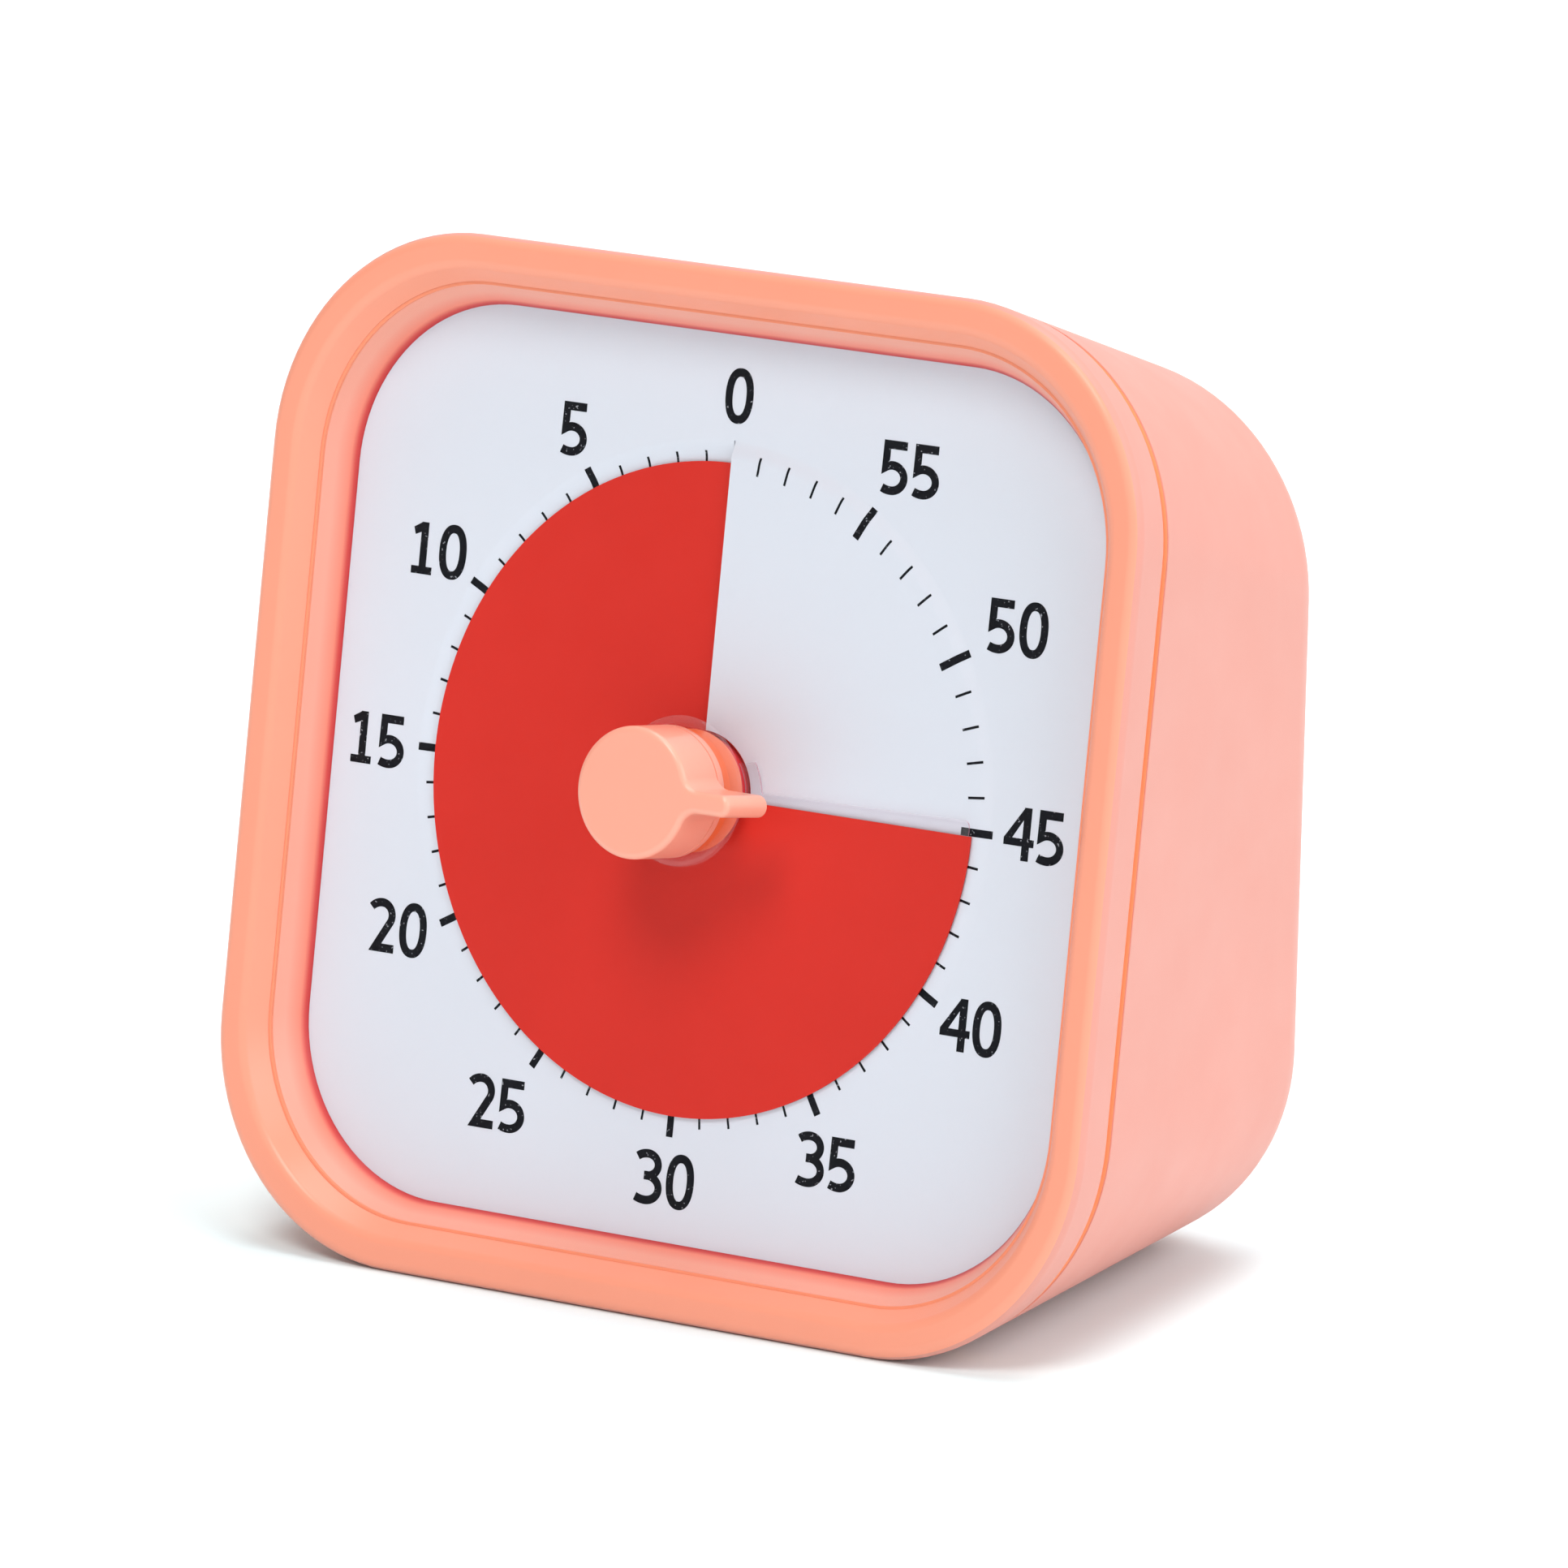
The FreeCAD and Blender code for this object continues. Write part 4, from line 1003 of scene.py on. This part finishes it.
NUMERALS = {                   # minutes, and the middle of the number
    0: (0.05, 33.35), 5: (-16.4, 28.7), 10: (-29.4, 16.8), 15: (-33.9, 0.0),
    20: (-29.9, -15.75), 25: (-17.9, -29.2), 30: (-0.05, -33.15), 35: (16.15, -29.35),
    40: (29.2, -16.1), 45: (33.7, 0.5), 50: (30.05, 17.4), 55: (17.95, 29.2),
}


def numerals():
    for minutes, (cx, cz) in NUMERALS.items():
        text = str(minutes)
        outlines = []
        for index, digit in enumerate(text):
            width, shapes = DIGITS[digit]
            left = cx + (index - (len(text) - 1) / 2) * DIGIT_PITCH - width / 2
            low = cz - DIGIT_TOP / 2
            outlines += [[(left + x, low + z) for x, z in shape] for shape in shapes]
        flat_print(f"numeral_{minutes:02d}", outlines, lambda x, z: 0.0)


def ticks():
    """Sixty marks, none at zero, long and bold every five minutes."""
    def height_at(x, z):
        degrees = math.degrees(math.atan2(-x, z)) % 360
        return card_height(math.hypot(x, z), degrees)

    for name, bold, inner, outer, width in (
        ("ticks_five", True, 26.45, 29.5, 0.67),
        ("ticks_minute", False, 27.0, 28.6, 0.22),
    ):
        outlines = []
        stops = [inner] + [radius for radius in WARP_STOPS if radius < outer] + [outer]
        for minute in range(1, 60):
            if (minute % 5 == 0) != bold:
                continue
            angle = math.radians(6 * minute + 90)
            along = Vector((math.cos(angle), math.sin(angle)))
            side = Vector((-along.y, along.x)) * width / 2
            for near, far in zip(stops, stops[1:]):
                low, high = along * near, along * far
                outlines.append([low - side, high - side, high + side, low + side])
        flat_print(name, outlines, height_at)


# Knob
FIN_HALF_WIDTH = 0.95
FIN_BLEND_R = 1.6
FIN_BACK = -5.5
FIN_DRAFT = 0.65
KNOB_EDGE_R = 0.5


def knob_outline(y, inset, reach):
    """A circle with a fin towards +X and concave blends, drawn inset all round."""
    round_r = KNOB_R - inset
    half = FIN_HALF_WIDTH - inset
    blend = FIN_BLEND_R + inset
    far = round_r + blend
    side = half + blend
    blend_x = math.sqrt(far ** 2 - side ** 2)
    tip = reach - FIN_HALF_WIDTH
    start = math.degrees(math.atan2(side, blend_x))
    upper = curve((0, 0), (round_r, round_r), start, 180, 48)
    turn = curve((blend_x, side), (blend, blend), 180 + start, 270, 10)[::-1]
    nose = curve((tip, 0), (half, half), 0, 90, 10)
    top = nose + turn[:-1] + upper[:-1]
    bottom = [(x, -z) for x, z in reversed(top[1:])]
    outline = top + [(-round_r, 0.0)] + bottom
    return [Vector((x, y, z)) for x, z in outline]


def knob_cap():
    """The knob with its fin, from the rounded front edge to the back of the fin."""
    edge_steps = 6
    loops = []
    for step in reversed(range(edge_steps + 1)):
        angle = math.pi / 2 * step / edge_steps
        y = KNOB_FRONT + KNOB_EDGE_R * (1 - math.sin(angle))
        inset = KNOB_EDGE_R * (1 - math.cos(angle))
        loops.append(knob_outline(y, inset, FIN_REACH - FIN_DRAFT))
    loops.append(knob_outline(FIN_BACK - 0.25, 0.0, FIN_REACH))
    loops.append(knob_outline(FIN_BACK, 0.2, FIN_REACH))
    piece = make_piece("knob_cap", "drive", *bridge(loops, False), [coral_knob])
    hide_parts("knob")


def knob_foot():
    """The round foot of the knob, behind the fin."""
    front = FIN_BACK - 0.1
    edge, mid_edge = 0.2, MID_ROUND * 0.2
    profile = [(front, 0.4), (front, 0.0), (KNOB_BACK - edge, 0.0)]
    profile += [(KNOB_BACK - mid_edge, mid_edge), (KNOB_BACK, edge)]
    loops = [loop(y, KNOB_R - inset, KNOB_R) for y, inset in profile]
    piece = make_piece("knob_foot", "drive", *bridge(loops, False), [coral_knob])


# Back
def plate(name, body, outer, holes, front, back, edge, material):
    """A flat plate with a rounded outer face.

    outer and holes are functions from an inset to (x, z) points. front and back are its distances
    in front of the back plane, back being the outer face.
    """
    rings = [(outer, 1)] + [(hole, -1) for hole in holes]
    mid_edge = MID_ROUND * edge
    levels = [(front, 0.0), (back + edge, 0.0), (back + mid_edge, mid_edge), (back, edge)]
    points, faces, outer_rings, inner_rings = [], [], [], []
    for outline, sign in rings:
        rows = []
        for behind, inset in levels:
            row = outline(sign * inset)
            rows.append(list(range(len(points), len(points) + len(row))))
            points += [from_row((x * MM, BACK_PLANE - behind * MM, z * MM)) for x, z in row]
        for one, two in zip(rows, rows[1:]):
            faces += [(a, b, c, d) for (a, b), (d, c) in zip(sides_of(one), sides_of(two))]
        inner_rings.append(rows[0])
        outer_rings.append(rows[-1])
    for chosen in (inner_rings, outer_rings):
        flat, ids, loops = [], [], []
        for ring in chosen:
            loops.append(list(range(len(ids), len(ids) + len(ring))))
            ids += ring
            flat += [place(*points[index]).xz / MM for index in ring]
            if signed_area([flat[corner] for corner in loops[-1]]) < 0:
                loops[-1].reverse()
        _, _, triangles, origin, _, owners = delaunay_2d_cdt(flat, [], loops, 1, 1e-6)
        for triangle, owner in zip(triangles, owners):
            if owner == [0]:
                faces.append(tuple(ids[origin[corner][0]] for corner in triangle))
    return make_piece(name, body, points, faces, [material])


def rectangle(low_x, high_x, low_z, high_z, radius):
    """As a function from an inset, like disc, for plate."""
    half_x, half_z = (high_x - low_x) / 2, (high_z - low_z) / 2

    def outline(inset):
        points = square_outline(half_x - inset, half_z - inset, max(0.02, radius - inset))
        return [((low_x + high_x) / 2 + x, (low_z + high_z) / 2 + z) for x, z, _ in points]

    return outline


def round_box(low, high, grow, radius):
    return rectangle(low.x - grow, high.x + grow, low.z - grow, high.z + grow, radius)


def behind(y):
    """How far a row-frame depth in mm is in front of the back plane."""
    return (BACK_PLANE - y * MM) / MM


def disc(centre, radius, count=40):
    return lambda inset: round_outline(radius - inset, centre, count)


# The rear cover's features, as (x, z) in row-frame mm
BUZZER = (-11.0, 45.0)
GRILLE_PITCH = 3.0
SOUND_HOLE_R = 0.9
SWITCH = (12.0, 50.0)
SWITCH_HALF = (3.2, 1.4)
SCREW_WELL_R = 2.1
PLATE_EDGE_R = 0.25
COVER_SCREWS = ((-25.3, 32.6), (25.3, 32.6), (-20.6, 57.6), (20.6, 57.6))


def rear_plate():
    """The rear cover, with the door's opening, screw wells, sound holes and the switch's slot."""
    low, high = COVER_LOW / MM, COVER_HIGH / MM
    door_low, door_high = DOOR_LOW / MM, DOOR_HIGH / MM
    door_gap = 0.2
    holes = [round_box(door_low, door_high, door_gap, 2.0)]
    holes += [disc(at, SCREW_WELL_R) for at in COVER_SCREWS]
    x, z = BUZZER
    holes.append(disc(BUZZER, SOUND_HOLE_R, 24))
    for step in range(6):
        angle = math.radians(60 * step)
        spot = (x + GRILLE_PITCH * math.cos(angle), z + GRILLE_PITCH * math.sin(angle))
        holes.append(disc(spot, SOUND_HOLE_R, 24))
    (x, z), (half_x, half_z) = SWITCH, SWITCH_HALF
    holes.append(rectangle(x - half_x, x + half_x, z - half_z, z + half_z, 0.3))
    outer = round_box(low, high, 0.0, WINDOW_R - COVER_GAP)
    front, back = behind(low.y), behind(high.y)
    piece = plate("rear_plate", "housing", outer, holes, front, back, PLATE_EDGE_R, coral)
    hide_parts("rear_cover")


def door_plate():
    """The battery door, with a thumb recess near its top edge and three grip ribs under it."""
    low, high = DOOR_LOW / MM, DOOR_HIGH / MM
    front, back = behind(low.y), behind(high.y)
    outer = round_box(low, high, 0.0, 1.8)
    thumb = rectangle(-6.0, 6.0, high.z - 5.4, high.z - 1.2, 2.1)
    piece = plate("door_plate", "door", outer, [thumb], front, back, PLATE_EDGE_R, coral)
    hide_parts("battery_door")
    bottom = rectangle(-6.4, 6.4, high.z - 5.8, high.z - 0.8, 2.4)
    floor_piece = plate("door_recess", "door", bottom, [], back + 1.2, back + 0.8, 0.05, coral)
    for row in range(3):
        middle = high.z - 7.6 - 1.7 * row
        outer = rectangle(-5.0, 5.0, middle - 0.4, middle + 0.4, 0.39)
        name = f"door_rib_{row + 1}"
        rib = plate(name, "door", outer, [], back + 0.1, back - 0.35, PLATE_EDGE_R, coral)


def repaint():
    """Gives each node its slot's material, and the knob's stem a deeper orange, painted shade for the shadow under
    the knob.
    """
    for part in frame["record"]["subparts"]:
        node = frame["nodes"][part["node"]]
        node.data.materials.clear()
        node.data.materials.append(MATERIALS[part["material_slot"]])
    stem = frame["nodes"]["knob_stem"]
    stem.data.materials[0] = stem_painted_shade


# Stage
def direction(azimuth, elevation):
    """Azimuth 0 is in front of the dial, and 90 to its right."""
    a, e = math.radians(azimuth), math.radians(elevation)
    return Vector((math.sin(a) * math.cos(e), -math.cos(a) * math.cos(e), math.sin(e)))


def stand(name, data, spot, away):
    """A light or camera at spot that looks back along away."""
    thing = bpy.data.objects.new(name, data)
    thing.location = spot
    thing.rotation_mode = "QUATERNION"
    thing.rotation_quaternion = (-away).to_track_quat("-Z", "Y")
    bpy.context.scene.collection.objects.link(thing)
    return thing


def soft_light(name, azimuth, elevation, spread_deg, strength, colour):
    """A broad, even light. A strength of 1 lights a white surface that faces it to full white."""
    away = direction(azimuth, elevation)
    light = bpy.data.lights.new(name, "SUN")
    light.angle = math.radians(spread_deg)
    light.energy = strength * math.pi
    light.color = colour
    stand(name, light, away, away)


def floor():
    mesh = bpy.data.meshes.new("floor")
    reach = 3.0
    corners = [(-reach, -reach, 0), (reach, -reach, 0), (reach, reach, 0), (-reach, reach, 0)]
    mesh.from_pydata(corners, [], [(0, 1, 2, 3)])
    surface = Surface("floor_white", 0.8, Specular_IOR_Level=0.0)
    surface.mottled((0.83, 0.94, 0.95), 8, 0.002)
    mesh.materials.append(surface.material)
    plane = bpy.data.objects.new("floor", mesh)
    bpy.context.scene.collection.objects.link(plane)


LIGHTS = (                     # name, azimuth, elevation, spread, strength, colour
    ("key", 12, 55, 24, 0.40, (1.0, 0.99, 0.97)),
    ("front_fill", 10, 6, 60, 0.17, (1.0, 0.99, 0.98)),
    ("overhead", 160, 80, 40, 0.50, (0.96, 0.98, 1.0)),
    ("right_fill", 80, 30, 45, 0.46, (0.87, 0.945, 1.0)),
)


def studio():
    world = bpy.data.worlds.new("studio")
    bpy.context.scene.world = world
    world.use_nodes = True
    tree = world.node_tree
    background = tree.nodes["Background"]
    set_inputs(background, Color=(1.0, 1.0, 1.0, 1))
    # a white backdrop behind the object, and a dimmer room in front of it
    places = tree.nodes.new("ShaderNodeTexCoord")
    split = tree.nodes.new("ShaderNodeSeparateXYZ")
    backdrop = tree.nodes.new("ShaderNodeMapRange")
    backdrop.interpolation_type = "SMOOTHSTEP"
    set_inputs(backdrop, From_Min=-0.2, From_Max=0.6, To_Min=0.16, To_Max=0.95)
    tree.links.new(places.outputs["Generated"], split.inputs["Vector"])
    tree.links.new(split.outputs["Y"], backdrop.inputs["Value"])
    tree.links.new(backdrop.outputs["Result"], background.inputs["Strength"])
    for light in LIGHTS:
        soft_light(*light)
    bpy.context.scene.view_settings.view_transform = "Standard"
    bpy.context.scene.view_settings.look = "None"


CAMERA_AZIMUTH = 34.807        # degrees round from the front, to the dial's right
CAMERA_ELEVATION = 12.948
CAMERA_DISTANCE = 1.2509       # metres
CAMERA_LENS = 338.44           # millimetres, on a sensor 36 wide
CAMERA_AIM = DIAL_CENTRE + Vector((-0.00045, 0.01274, -0.00194))


def camera():
    away = direction(CAMERA_AZIMUTH, CAMERA_ELEVATION)
    data = bpy.data.cameras.new("camera")
    data.lens = CAMERA_LENS
    data.sensor_width = 36.0
    data.clip_start = 0.01
    spot = CAMERA_AIM + away * CAMERA_DISTANCE
    bpy.context.scene.camera = stand("camera", data, spot, away)


camera()
repaint()
bezel()
dial_wall()
lens_seam()
window_lens()
body_shell()
dial_card()
red_disk()
film_strip()
numerals()
ticks()
knob_cap()
knob_foot()
rear_plate()
door_plate()
floor()
studio()

bpy.context.view_layer.update()
